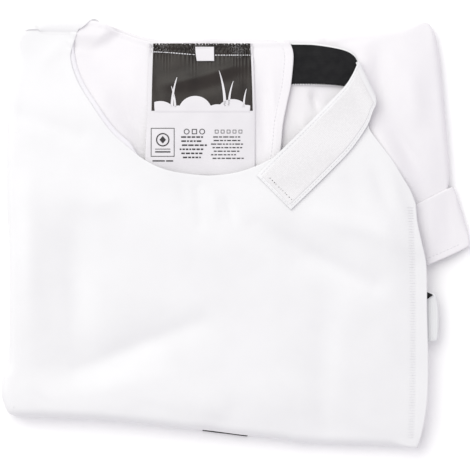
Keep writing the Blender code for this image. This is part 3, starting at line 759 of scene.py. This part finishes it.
# Polyester satin ribbon: long floats across make it smooth, and it shines a little
SATIN = woven("polyester_satin", "#dcdadd", "#d8d6d9", 0.4, 0.42, sheen=0.1, turn=90.0, depth=0.04)
# Screen print on satin, dried brown black: the ribbon's shine comes through in streaks
DARK_PRINT = woven("screen_print_on_satin", "#2b2521", "#1f1a17", 0.4, 0.33, sheen=0.0, turn=90.0,
                   depth=0.05, mottle=14.0, ior=1.38)
# Fine print in grey black ink, flat and dry
FINE_PRINT = woven("fine_print_ink", "#333133", "#2b292b", 0.4, 0.7, sheen=0.0, depth=0.02)
# Knitted elastic with covered rubber threads: black ribs along it, dull with a fine fluff
ELASTIC = woven("knitted_elastic", "#222223", "#18181a", 1.2, 0.82, sheen=0.0, turn=92.0, depth=0.3,
                mottle=6.0, ior=1.25)
# Polyester webbing, woven with a raised rib: white, with lines along it
WEBBING = woven("ribbed_webbing", "#dfe0e1", "#d8d9da", 1.6, 0.7, turn=0.0, depth=0.3)
# The tape's woven border, flat and bright
TAPE_BORDER = woven("woven_tape_border", "#e6e6e7", "#e0e0e1", 0.5, 0.65, turn=46.0)
HOOKS = hook_tape_field()
# Spun polyester sewing thread: fine twist, a soft shine
THREAD = woven("spun_polyester_thread", "#e4e3e6", "#dbdadd", 0.3, 0.55, depth=0.05)


# Shapes of the cloth pieces

FRONT_EDGE_HEM = path(FRONT_HEM) + path(ARMHOLE)[1:] + path(SHOULDER_TIP)
NECK_HEM = path(FRONT_NECKLINE)
BACK_SIDE_PATH = path(BACK_SIDE_HEM)
BACK_NECK_HEM = path(BACK_NECK_EDGE) + path(SHOULDER_FOLD[:4])
CUFF_MOUTH_PATH = path(CUFF_MOUTH)


def front_height(x, y):
    """The front's outer face."""
    z = stack_height(x, y) + FRONT_CREASE_DEPTH * relief(FRONT_CREASES, x, y) + relief(NECK_PUCKERS, x, y)
    z += hem(FRONT_EDGE_HEM, 2.6, x, y, thick=0.12, groove=0.1)
    z += hem(NECK_HEM, NECK_BAND_WIDTH, x, y, thick=0.15, groove=0.1)
    z -= HEM_SEAM_DEPTH * np.exp(-2 * (nearest_on_chain(HEM_SEAM, x, y)[0] / HEM_SEAM_SPREAD) ** 2)
    return z + unevenness(x, y, 34, 0.5, 1.7) + unevenness(x, y, 9, 0.06, 5.1)


def corner_share(x, y):
    """How much of the back's rise towards the neck's left corner is reached at (x, y)."""
    return smooth((y - 142) / 14) * smooth((0.9 * (y - 160) - 84 - x) / 16)


def back_height(x, y, hollow=1.0):
    """The back's inner face, seen in the neck, with a share of the hollow beside the label."""
    z = stack_height(x, y) - BACK_DEPTH + relief(BACK_CREASES, x, y) + hollow * relief(LABEL_HOLLOW, x, y)
    z += hem(BACK_NECK_HEM, BACK_NECK_HEM_WIDTH, x, y, thick=0.4, groove=0.6)
    z += hem(BACK_SIDE_PATH, BACK_HEM_WIDTH, x, y, thick=0.3, groove=0.35)
    z += CORNER_RISE * corner_share(x, y)
    away = nearest_on_chain(FRONT_NECKLINE[6:], x, y)[0]
    z += RIM_RISE * (1 - smooth((away - 2) / RIM_SLOPE)) * smooth((-40 - x) / 30) * smooth((152 - y) / 12)
    return z + unevenness(x, y, 26, 0.4, 8.3) - 0.2


def sleeve_height(x, y):
    """The sleeve's outer face."""
    z = sleeve_base(x, y) + SLEEVE_CREASE_DEPTH * relief(SLEEVE_CREASES, x, y)
    return z + unevenness(x, y, 30, 0.5, 3.9)


def cuff_height(x, y):
    """The cuff band's outer face."""
    z = sleeve_base(x, y) + CLOTH_WALL + SEAM_GAP + relief(CUFF_CREASES, x, y)
    z += hem(CUFF_MOUTH_PATH, CUFF_HEM_WIDTH, x, y, thick=0.3, groove=0.3)
    return z + unevenness(x, y, 22, 0.4, 6.6)


def label_height(x, y):
    """The label's face: gathered along its sewn top, with slow waves below."""
    seam = LABEL_SEAM_Y + LABEL_SEAM_DROP * smooth((-20 - x) / 46)
    below = np.clip(seam - y, 0, None)
    above = np.clip(y - seam, 0, None)
    reach = 3.2 + 1.8 * np.sin(x / 3.1) + 1.2 * np.sin(x / 1.7 + 1.0) + 2.2 * smooth((x + 10) / 20)
    gathers = np.sin(2 * math.pi * x / 2.7 + 2.2 * np.sin(x / 4.3)) * np.exp(-below / np.maximum(reach, 0.9))
    gathers *= 0.75 + 0.45 * np.sin(x / 5.2 + 0.6)
    ruffle = np.sin(2 * math.pi * x / 3.4 + 2.6 * np.sin(y / 1.1 + x / 7.0)) * np.minimum(above / 2.4, 1)
    sewn = -0.5 * np.exp(-((y - seam) / 0.8) ** 2)
    swell = relief(LABEL_FOLDS, x, y)
    z = back_height(x, y, 0.2) + 1.5 + 0.8 * gathers + 0.45 * ruffle + sewn + swell
    return z + unevenness(x, y, 12, 0.25, 2.2)


def front_piece():
    fold = path(LEFT_FOLD) + path(BOTTOM_FOLD)[1:]
    start = np.hypot(*(np.array(fold) - fold[0]).T)
    edge = closed_edge(
        (fold, FRONT_REACH, None),
        (path(FRONT_HEM), HEM_ROUND, CLOTH_WALL),
        (path(ARMHOLE), HEM_ROUND, CLOTH_WALL),
        (path(SHOULDER_TIP), HEM_ROUND, CLOTH_WALL),
        (NECK_HEM, HEM_ROUND, NECK_EDGE_DROP),
        (path(SHOULDER_SEAM), 0.4, 0.7),
    )
    edge[1][:len(fold)] *= 0.45 + 0.55 * smooth(start / 24)
    points, faces = cloth_shell(edge, front_height, CLOTH_NET)
    piece = make_piece("front_cloth", points, faces, TWILL, ["front_panel"])


def back_wrap(columns=16):
    """The back's shoulder on its way over the top fold to the seam, as rows of points."""
    fold = np.array(path([*SHOULDER_FOLD[:-1], (-162.4, 159)], 2.0))
    along = np.gradient(fold, axis=0)
    along /= np.hypot(*along.T)[:, None]
    out = np.stack([along[:, 1], -along[:, 0]], 1)
    crown = fold - out * BACK_REACH
    x, y = crown.T
    top = stack_height(x, y)
    half = (BACK_DEPTH + CLOTH_WALL) / 2
    arc = math.pi * (BACK_REACH + half) / 2
    seam_x, seam_y = np.array(SEAM_OVER).T
    past = y - np.interp(x, seam_x, seam_y)
    bend = arc * (1 - np.arcsin(np.clip(-1.4 * past / BACK_REACH, 0, 1)) / math.pi)
    overlap = SEAM_OVERLAP * smooth((-120 - x) / 4) * smooth((x + 161) / 13)
    whole = np.where(past < 0, bend, arc + past + overlap) * (1 - 0.9 * smooth((x + 124) / 24))
    rows = []
    for k in range(columns + 1):
        way = whole * k / columns
        turn = math.pi * (1 - np.minimum(way, arc) / arc)
        reach = BACK_REACH * np.sin(turn) - np.maximum(0, way - arc)
        spot = crown + out * reach[:, None]
        sunk = 0.3 * smooth((way - arc) / 2.5) + 1.0 * smooth((way - arc - past) / 1.5)
        rows.append(np.column_stack([spot, top - sunk - half + half * np.cos(turn)]))
    return [np.array(row) for row in zip(*rows)]


def back_piece():
    edge = closed_edge(
        (path(SHOULDER_FOLD), 3.0, CLOTH_WALL),
        (path(BACK_HIDDEN), HEM_ROUND, CLOTH_WALL),
        (path(BACK_SIDE_HEM), HEM_ROUND, CLOTH_WALL),
        (path(BACK_NECK_EDGE), HEM_ROUND, CLOTH_WALL),
    )
    points, faces = cloth_shell(edge, back_height, CLOTH_NET * 0.8)
    # The back's inner side wears the twill with painted violet shade
    piece = make_piece("back_cloth", points, faces, SHADED_TWILL, ["back_panel"])
    wrap = strip_piece("back_shoulder_turn", back_wrap(), TWILL, CLOTH_WALL * 0.8)


def sleeve_piece():
    fold = path(SLEEVE_SIDE) + path(SLEEVE_TOP)[1:]
    edge = closed_edge(
        (fold, SLEEVE_REACH, None),
        (path(SLEEVE_HIDDEN), HEM_ROUND, CLOTH_WALL),
    )
    points, faces = cloth_shell(edge, sleeve_height, CLOTH_NET)
    # The sleeve wears the twill with painted violet shade
    piece = make_piece("sleeve_cloth", points, faces, SHADED_TWILL, ["sleeve"])


def cuff_piece():
    edge = closed_edge(
        (path(CUFF_SIDE), CUFF_REACH, None),
        (path(CUFF_TOP), HEM_ROUND, CLOTH_WALL),
        (path(CUFF_HIDDEN), HEM_ROUND, CLOTH_WALL),
        (CUFF_MOUTH_PATH, HEM_ROUND, CLOTH_WALL),
    )
    points, faces = cloth_shell(edge, cuff_height, CLOTH_NET * 0.8)
    # The cuff wears the twill with painted violet shade
    piece = make_piece("cuff_band", points, faces, SHADED_TWILL, ["sleeve_cuff"])


def facing_piece():
    """The turned band that shows inside the left half of the front neckline."""
    line = [p for p in path(FRONT_NECKLINE, 2.4) if p[0] < -74 and p[1] < 150]
    chain = np.array(line)
    count = len(line)
    place = np.arange(count)
    shown = 3.6 * smooth(np.minimum(place + 1.0, count - 0.5 - place) / 6.0)
    columns = []
    for out, share, drop in ((-5.0, 0, 0.0), (-2.0, 0, 0.0), (0.0, 0, 0.0), (0.0, 0.35, 0.1),
                             (0.0, 0.7, 0.35), (0.0, 1.0, 1.0)):
        spot = inset_chain(chain, -(out + share * shown)[:, None])
        z = stack_height(spot[:, 0], spot[:, 1]) - FACING_DEPTH - drop
        columns.append(np.column_stack([spot, z]))
    rows = [np.array(row) for row in zip(*columns)]
    piece = strip_piece("neck_facing_tape", rows, BINDING, 1.1, ["neck_facing"])


# The neck label with its prints

def row_edges(rows):
    """The counter-clockwise outline of a piece given as rows of y, left x and right x."""
    right = [(r, y) for y, _, r in reversed(rows)]
    left = [(l, y) for y, l, _ in rows]
    return right, left


def print_layer(name, shapes, material, lift, foot=0.0):
    """Printed shapes on the label as one thin skin, that sinks into it at its foot."""
    points, faces = [], []
    for shape in shapes:
        flat, found = flat_net(shape, LABEL_NET)
        x, y = flat.T
        first = len(points)
        lifts = lift * smooth((y - foot) / 1.3)
        points += np.column_stack([x, y, label_height(x, y) + lifts]).tolist()
        faces += [[first + k for k in face] for face in found]
    return make_piece(name, points, faces, material)


def box_shape(x0, y0, x1, y1, step=2.0):
    """A rectangle's outline with points along its sides."""
    across, up = max(1, round((x1 - x0) / step)), max(1, round((y1 - y0) / step))
    return ([(x0 + (x1 - x0) * k / across, y0) for k in range(across)]
            + [(x1, y0 + (y1 - y0) * k / up) for k in range(up)]
            + [(x1 - (x1 - x0) * k / across, y1) for k in range(across)]
            + [(x0, y1 - (y1 - y0) * k / up) for k in range(up)])


def hill_shape():
    """White rolling hills along the foot of the dark field."""
    hills = (
        # middle x, half width, height
        (-58, 11, 8.5), (-44, 9, 5.0), (-31, 13, 12.5), (-14, 8, 6.0), (-2, 12, 10.0), (9, 6, 5.5),
    )
    line = []
    for x in np.arange(-62.6, 11.7, 0.7):
        rise = max(h * max(0.0, 1 - ((x - m) / w) ** 2) ** 0.5 for m, w, h in hills)
        line.append((float(x), DARK_FIELD_FOOT - 0.4 + max(1.2, rise)))
    foot = [(float(x), DARK_FIELD_FOOT - 0.7) for x in np.arange(-62.6, 11.7, 2.0)]
    return foot + line[::-1]


def reed_shape(x, foot, height, lean, width):
    """A tall white blade of grass that bends over."""
    right, left = [], []
    for k in range(13):
        t = k / 12
        middle = x + lean * t * t
        half = width / 2 * (1 - t) ** 0.6 + 0.12
        right.append((middle + half, foot + height * t))
        left.append((middle - half, foot + height * t))
    return right + left[::-1]


def ring_shapes(x, y, radius, line, parts=20):
    """A printed ring, as two half rings."""
    shapes = []
    for half in (0, 1):
        turns = [math.pi * (half + k / parts) for k in range(parts + 1)]
        outer = [(x + radius * math.cos(t), y + radius * math.sin(t)) for t in turns]
        inner = [(x + (radius - line) * math.cos(t), y + (radius - line) * math.sin(t)) for t in turns]
        shapes.append(outer + inner[::-1])
    return shapes


def frame_shapes(x0, y0, x1, y1, line):
    """A printed frame, as four bars."""
    return [box_shape(x0, y0, x1, y0 + line), box_shape(x0, y1 - line, x1, y1),
            box_shape(x0, y0 + line, x0 + line, y1 - line),
            box_shape(x1 - line, y0 + line, x1, y1 - line)]


def mark_shapes():
    """Plain marks on the label's white part: a framed ring, small signs, and rows of short bars."""
    shapes = frame_shapes(-65.3, 60.4, -47.0, 82.6, 0.5)
    shapes += ring_shapes(-56.1, 73.5, 5.2, 0.9)
    shapes += [[(-56.1, 70.6), (-53.6, 73.5), (-56.1, 76.4), (-58.6, 73.5)]]
    shapes += [box_shape(-62.0, 63.6, -50.2, 64.6), box_shape(-62.0, 66.0, -50.2, 66.5)]
    for n, x in enumerate((-37.6, -31.6, -25.6)):
        shapes += ring_shapes(x, 79.8, 2.2, 0.6) if n != 1 else frame_shapes(x - 2, 77.8, x + 2, 81.8, 0.6)
    for n in range(5):
        x = -14.4 + 4.6 * n
        shapes += frame_shapes(x - 1.4, 78.4, x + 1.4, 81.2, 0.4)
    dice = random.Random(11)
    columns = (
        # left x, right x, top y, rows, line pitch, bar height
        (-43.0, -21.6, 75.0, 6, 3.15, 1.15),
        (-19.0, 8.0, 75.2, 7, 2.75, 0.85),
    )
    for left, right, top, rows, pitch, tall in columns:
        for row in range(rows):
            y = top - pitch * row
            x = left + dice.uniform(0, 2.5)
            stop = right - dice.uniform(0, 6.0)
            while x < stop - 1.0:
                length = min(dice.uniform(1.2, 4.2), stop - x)
                shapes.append([(x, y), (x + length, y), (x + length, y + tall), (x, y + tall)])
                x += length + 0.8
    shapes.append([(-64.0, 56.6), (-54.5, 56.6), (-54.5, 57.6), (-64.0, 57.6)])
    shapes.append([(-53.5, 56.6), (-48.0, 56.6), (-48.0, 57.6), (-53.5, 57.6)])
    return shapes


def label_pieces():
    right, left = row_edges(LABEL_ROWS)
    edge = closed_edge(
        (path(right, 1.2), 0.45, 0.9),
        (path([right[-1], left[0]], 1.2), 0.45, 0.9),
        (path(left, 1.2), 0.45, 0.9),
        (path([left[-1], right[0]], 1.2), 0.45, 0.9),
    )
    points, faces = cloth_shell(edge, label_height, LABEL_NET, tuck=1.5)
    label = make_piece("neck_label_satin", points, faces, SATIN, ["neck_label"])
    rows = [(y if y > 95 else DARK_FIELD_FOOT + 0.6, l, r) for y, l, r in LABEL_ROWS[:4]]
    field = [(r - LABEL_MARGIN + 1.6, y) for y, _, r in reversed(rows)]
    field += [(l + LABEL_MARGIN - 0.2, y) for y, l, _ in rows]
    dark = print_layer("label_dark_print", [soft_corners(field)], DARK_PRINT, PRINT_LIFT)
    light = print_layer("label_hill_print", [
        hill_shape(), reed_shape(-49, 98, 24, 4.0, 2.0), reed_shape(-46.5, 98, 17, -3.0, 1.6),
        reed_shape(-8, 99, 28, -4.5, 2.2), reed_shape(-5, 99, 20, 3.5, 1.7), reed_shape(6.5, 98, 15, 2.2, 1.5),
    ], SATIN, 2.2 * PRINT_LIFT, DARK_FIELD_FOOT - 0.9)
    marks = print_layer("label_fine_print", mark_shapes(), FINE_PRINT, PRINT_LIFT)
    seam_x = np.arange(-65.5, 13.0, 0.6)
    seam_y = LABEL_SEAM_Y + LABEL_SEAM_DROP * smooth((-20 - seam_x) / 46)
    chain = np.column_stack([seam_x, seam_y])
    rows = [on_cloth(chain[seam_x < -30.4], label_height, 0.25),
            on_cloth(chain[seam_x > -17.0], label_height, 0.25)]
    sewn = stitches("label_stitches", rows, THREAD, 2.3, 2.0, 0.42)


def soft_corners(outline, step=1.5):
    """A closed outline with points along its straight sides."""
    result = []
    for (x0, y0), (x1, y1) in zip(outline, outline[1:] + outline[:1]):
        parts = max(1, round(math.hypot(x1 - x0, y1 - y0) / step))
        result += [(x0 + (x1 - x0) * k / parts, y0 + (y1 - y0) * k / parts) for k in range(parts)]
    return result


def tag_piece():
    def height(x, y):
        return back_height(x, y, 0.2) + 3.3

    right, left = row_edges(TAG_ROWS)
    edge = closed_edge(
        (path(right, 1.0), 0.4, 0.8),
        (path([right[-1], left[0]], 1.0), 0.4, 0.8),
        (path(left, 1.0), 0.4, 0.8),
        (path([left[-1], right[0]], 1.0), 0.4, 0.8),
    )
    points, faces = cloth_shell(edge, height, LABEL_NET, tuck=1.0)
    piece = make_piece("size_tag_satin", points, faces, SATIN, ["size_tag"])


# Straps

def strap_pieces():
    band = strip_piece("strap_elastic", strap_rows(ELASTIC_SECTIONS, 8, 24), ELASTIC,
                       1.4, ["shoulder_elastic"])
    edging = strip_piece("strap_elastic_edging",
                         strap_rows(ELASTIC_SECTIONS, 8, 24, edges=(-0.045, 1.04), lift=-0.5),
                         TAPE_BORDER, 0.8)
    teeth = [(row[-1] + (0, -0.8, 0.1), row[-1] + (0, 0.9, 0.35))
             for row in strap_rows(ELASTIC_SECTIONS, 8, 24)[1:-6]]
    bites = thread_piece("strap_elastic_stitches", teeth, ELASTIC, 0.42)
    tape = strip_piece("strap_tape", strap_rows(STRAP_SECTIONS, 8, 20, lift=-0.4), TAPE_BORDER,
                       1.5, ["shoulder_strap"])
    field = strip_piece("strap_hook_field",
                        strap_rows(STRAP_SECTIONS, 8, 20, edges=(0.095, 0.905), ends=(0.03, 0.64),
                                   lift=0.05), HOOKS, 0.6)
    long_rows = strap_rows(STRAP_SECTIONS, 8, 20, edges=(0.055, 0.945), ends=(0.02, 0.7), lift=-0.35)
    end_rows = strap_rows(STRAP_SECTIONS, 8, 20, edges=(0.06, 0.94), ends=(0.015, 0.03), lift=-0.35)
    rows = [[row[0] for row in long_rows], [row[-1] for row in long_rows], end_rows[0]]
    stitches("strap_stitches", rows, THREAD, 2.8, 2.1, 0.2)
    start, stop = strap_rows(STRAP_SECTIONS, 8, 1, edges=(0.2, 0.88), ends=(0.06, 0.08), lift=0.12)[0]
    dice = random.Random(5)
    tacks = []
    for k in range(11):
        spot = start + (stop - start) * (k + 0.5 + dice.uniform(-0.2, 0.2)) / 11
        size = dice.uniform(0.25, 0.75)
        tacks.append((spot, spot + np.array([0.7, -0.7, 0.0]) * size))
    thread_piece("strap_dark_tacks", tacks, ELASTIC, 0.28)


def waist_pieces():
    rows = []
    tip = WAIST_TIP - WAIST_THICK / 2
    for k in range(-1, 14):
        turn = math.pi * min(max(k, 0), 12) / 12
        share = np.linspace(0, 1, 20)
        y = WAIST_TOP + (WAIST_LOW - WAIST_TOP) * share
        middle = stack_height(np.full_like(y, WAIST_ROOT), y) - WAIST_DEPTH
        if k in (-1, 13):
            out = np.full_like(y, WAIST_ROOT)
        else:
            out = tip + WAIST_THICK / 2 * math.sin(turn) - 2.6 * (share - 0.58) ** 2 / 0.34
            y = y + 1.8 * share
        rows.append(np.column_stack([out, y, middle + WAIST_THICK / 2 * math.cos(turn)]))
    piece = strip_piece("waist_webbing", rows, WEBBING, 1.2, ["waist_strap"])
    level = float(stack_height(np.array([WAIST_ROOT]), np.array([WAIST_TOP]))[0])
    level += WAIST_THICK / 2 + SEAM_GAP + 1.2 - WAIST_DEPTH
    corners = ((WAIST_ROOT, -52), (149.4, -49.4), (153.2, -46.6), (149.4, -44.6), (WAIST_ROOT, -43.8))
    edge = closed_edge((soft_corners(list(corners), 1.0), 0.5, 1.2))
    points, faces = cloth_shell(edge, lambda x, y: np.full_like(x, level), 1.0, tuck=0.5)
    end = make_piece("waist_elastic_end", points, faces, ELASTIC, ["waist_elastic"])
    sewn = stitches("waist_stitches", [on_rows(rows, 0.93), on_rows(rows, 0.07)], THREAD,
                    2.6, 2.0, 0.2)


def on_rows(rows, share):
    """A line along a strap over its rows of points."""
    line = [row[round(share * (len(row) - 1))] for row in rows[:8]]
    return [p + np.array([0, 0, 0.05]) for p in line]


def lower_piece():
    (x0, y0), (x1, y1) = LOWER_STRIP
    length = math.hypot(x1 - x0, y1 - y0)
    out = np.array([(y1 - y0) / length, -(x1 - x0) / length])
    rows = []
    for far in np.linspace(LOWER_SHOWN, -LOWER_TUCKED, 5):
        t = np.linspace(0, 1, 24)
        rows.append(np.column_stack([x0 + (x1 - x0) * t + out[0] * far,
                                     y0 + (y1 - y0) * t + out[1] * far, np.full(24, 1.2)]))
    piece = strip_piece("lower_elastic_edge", rows, ELASTIC, 1.2, ["lower_elastic"])


# The hidden layers, seen at their edges

def open_top(x, y):
    """The top of the layers where their side is open: just under the cloth that covers it."""
    stack = stack_height(x, y)
    depth = np.full_like(x, CLOTH_WALL + 0.9)
    depth += 7.2 * smooth((y + 90) / 5) * smooth((-40 - y) / 5)
    depth = np.where(x < 60, BACK_DEPTH + CLOTH_WALL + 0.9 - 0.94 * CORNER_RISE * corner_share(x, y), depth)
    cuff = table_height(SLEEVE_STATIONS_X, SLEEVE_DEPTHS, x, y) + 0.8
    under_cuff = smooth((y + 40) / 8) * (x > 100)
    return stack - (depth * (1 - under_cuff) + cuff * under_cuff)


def layers_piece(lobes=5, lobe_steps=6):
    """Folded cloth edges, one round lip above another, each with its own uneven reach."""
    fold = path(LEFT_FOLD) + path(BOTTOM_FOLD)[1:]
    sleeve_fold = path(SLEEVE_SIDE) + path(SLEEVE_TOP)[1:]
    edge = closed_edge((fold[4:-3], FRONT_REACH, 0.0), (path(LAYERS_RIGHT), LAYERS_REACH, 1.0),
                       (sleeve_fold[3:], SLEEVE_REACH, 0.0), (path(LAYERS_TOP), LAYERS_REACH, 1.0))
    points, reach, is_open = edge
    out = loop_normals(points)
    crown = points - out * soften(reach)[:, None]
    flat, faces = flat_net(crown, 5.0)
    x, y = flat.T
    distance, _ = nearest_on_chain([*crown, crown[0]], x, y)
    middle = np.maximum(1.0, stack_height(x, y) - 14.5)
    count = len(crown)
    top = np.where(is_open > 0.5, open_top(x[:count], y[:count]), middle[:count])
    top = np.maximum(soften(top, 3), 1.0)
    near = np.argmin(np.hypot(x[:, None] - crown[None, :, 0], y[:, None] - crown[None, :, 1]), 1)
    share = smooth(distance / 9.0)
    z = top[near] * (1 - share) + middle * share
    z[:count] = top
    verts = [np.column_stack([x, y, z])]
    open_share = soften(is_open, 3)
    walked = np.arange(count) * EDGE_STEP
    rings = 1
    for lobe in range(lobes):
        own = np.array([noise.noise(Vector((s / 34, lobe * 3.7, 0.5))) for s in walked])
        for step in range(1, lobe_steps + 1):
            t = step / lobe_steps
            level = 1 - (lobe + t) / lobes
            bulge = 0.3 + (0.62 + 0.45 * own) * math.sin(math.pi * t) ** 0.6
            closed_out = (reach - 5.0) * math.sin(math.pi * (1 - level))
            far = LAYERS_REACH * bulge * open_share + closed_out * (1 - open_share) * 0.5
            verts.append(np.column_stack([crown + out * far[:, None], GROUND + (top - GROUND) * level]))
            rings += 1
    first = len(flat)
    ring = list(range(count))
    for _ in range(rings - 1):
        below = list(range(first, first + count))
        for k in range(count):
            n = (k + 1) % count
            faces.append([ring[k], below[k], below[n], ring[n]])
        ring = below
        first += count
    # The hidden layers wear the twill with painted violet shade
    make_piece("inner_cloth_layers", np.concatenate(verts), faces, SHADED_TWILL,
               ["folded_layers"])


def sewn_rows():
    """Sewing on the jacket's own cloth."""
    seam = path(HEM_SEAM, 2.1)
    sides = [on_cloth([(x + out, y) for x, y in seam], front_height, 0.06)
             for out in (-COVER_STITCH_HALF, COVER_STITCH_HALF)]
    thread_piece("front_hem_stitches", list(zip(*sides)), THREAD, 0.13)
    side = on_cloth(inset_chain(path(BACK_SIDE_HEM, 1.0), BACK_HEM_WIDTH), back_height, 0.1)
    stitches("back_hem_stitches", [side], THREAD)
    mouth = on_cloth(inset_chain(path(CUFF_MOUTH, 1.0), CUFF_HEM_WIDTH), cuff_height, 0.1)
    stitches("cuff_hem_stitches", [mouth], THREAD)


# Studio

def studio():
    bpy.ops.mesh.primitive_plane_add(size=6.0, location=(0, 0, -0.0003))
    floor = bpy.context.object
    floor.name = "studio_floor"
    material, tree, shader = finish_material("matte_white_paper", 0.9)
    shader.inputs["Base Color"].default_value = linear("#fdfdfd")
    floor.data.materials.append(material)

    world = bpy.context.scene.world or bpy.data.worlds.new("Studio")
    bpy.context.scene.world = world
    world.use_nodes = True
    sky = world.node_tree.nodes["Background"]
    sky.inputs["Color"].default_value = linear("#f9f6fc")
    sky.inputs["Strength"].default_value = 0.86

    lamps = (
        # name, place, size, watts, colour
        ("key_softbox", (-1.1, 1.35, 2.3), 2.8, 53.0, "#fcfff6"),
    )
    for name, place, size, watts, colour in lamps:
        lamp = bpy.data.lights.new(name, "AREA")
        lamp.shape = "SQUARE"
        lamp.size = size
        lamp.energy = watts
        lamp.color = linear(colour)[:3]
        holder = bpy.data.objects.new(name, lamp)
        holder.location = place
        holder.rotation_euler = (-Vector(place)).to_track_quat("-Z", "Y").to_euler()
        bpy.context.scene.collection.objects.link(holder)

    view = bpy.data.cameras.new("top_camera")
    view.sensor_width = SENSOR
    view.lens = SENSOR * (CAMERA_HEIGHT - VIEW_PLANE) / (PHOTO_PIXELS * PIXEL_MM)
    view.clip_end = 20.0
    camera = bpy.data.objects.new("top_camera", view)
    camera.location = (VIEW_CENTRE[0] * MM, VIEW_CENTRE[1] * MM, CAMERA_HEIGHT * MM)
    bpy.context.scene.collection.objects.link(camera)
    bpy.context.scene.camera = camera
    bpy.context.scene.view_settings.view_transform = "Standard"


layers_piece()
sleeve_piece()
cuff_piece()
back_piece()
label_pieces()
tag_piece()
facing_piece()
front_piece()
strap_pieces()
waist_pieces()
lower_piece()
sewn_rows()
studio()
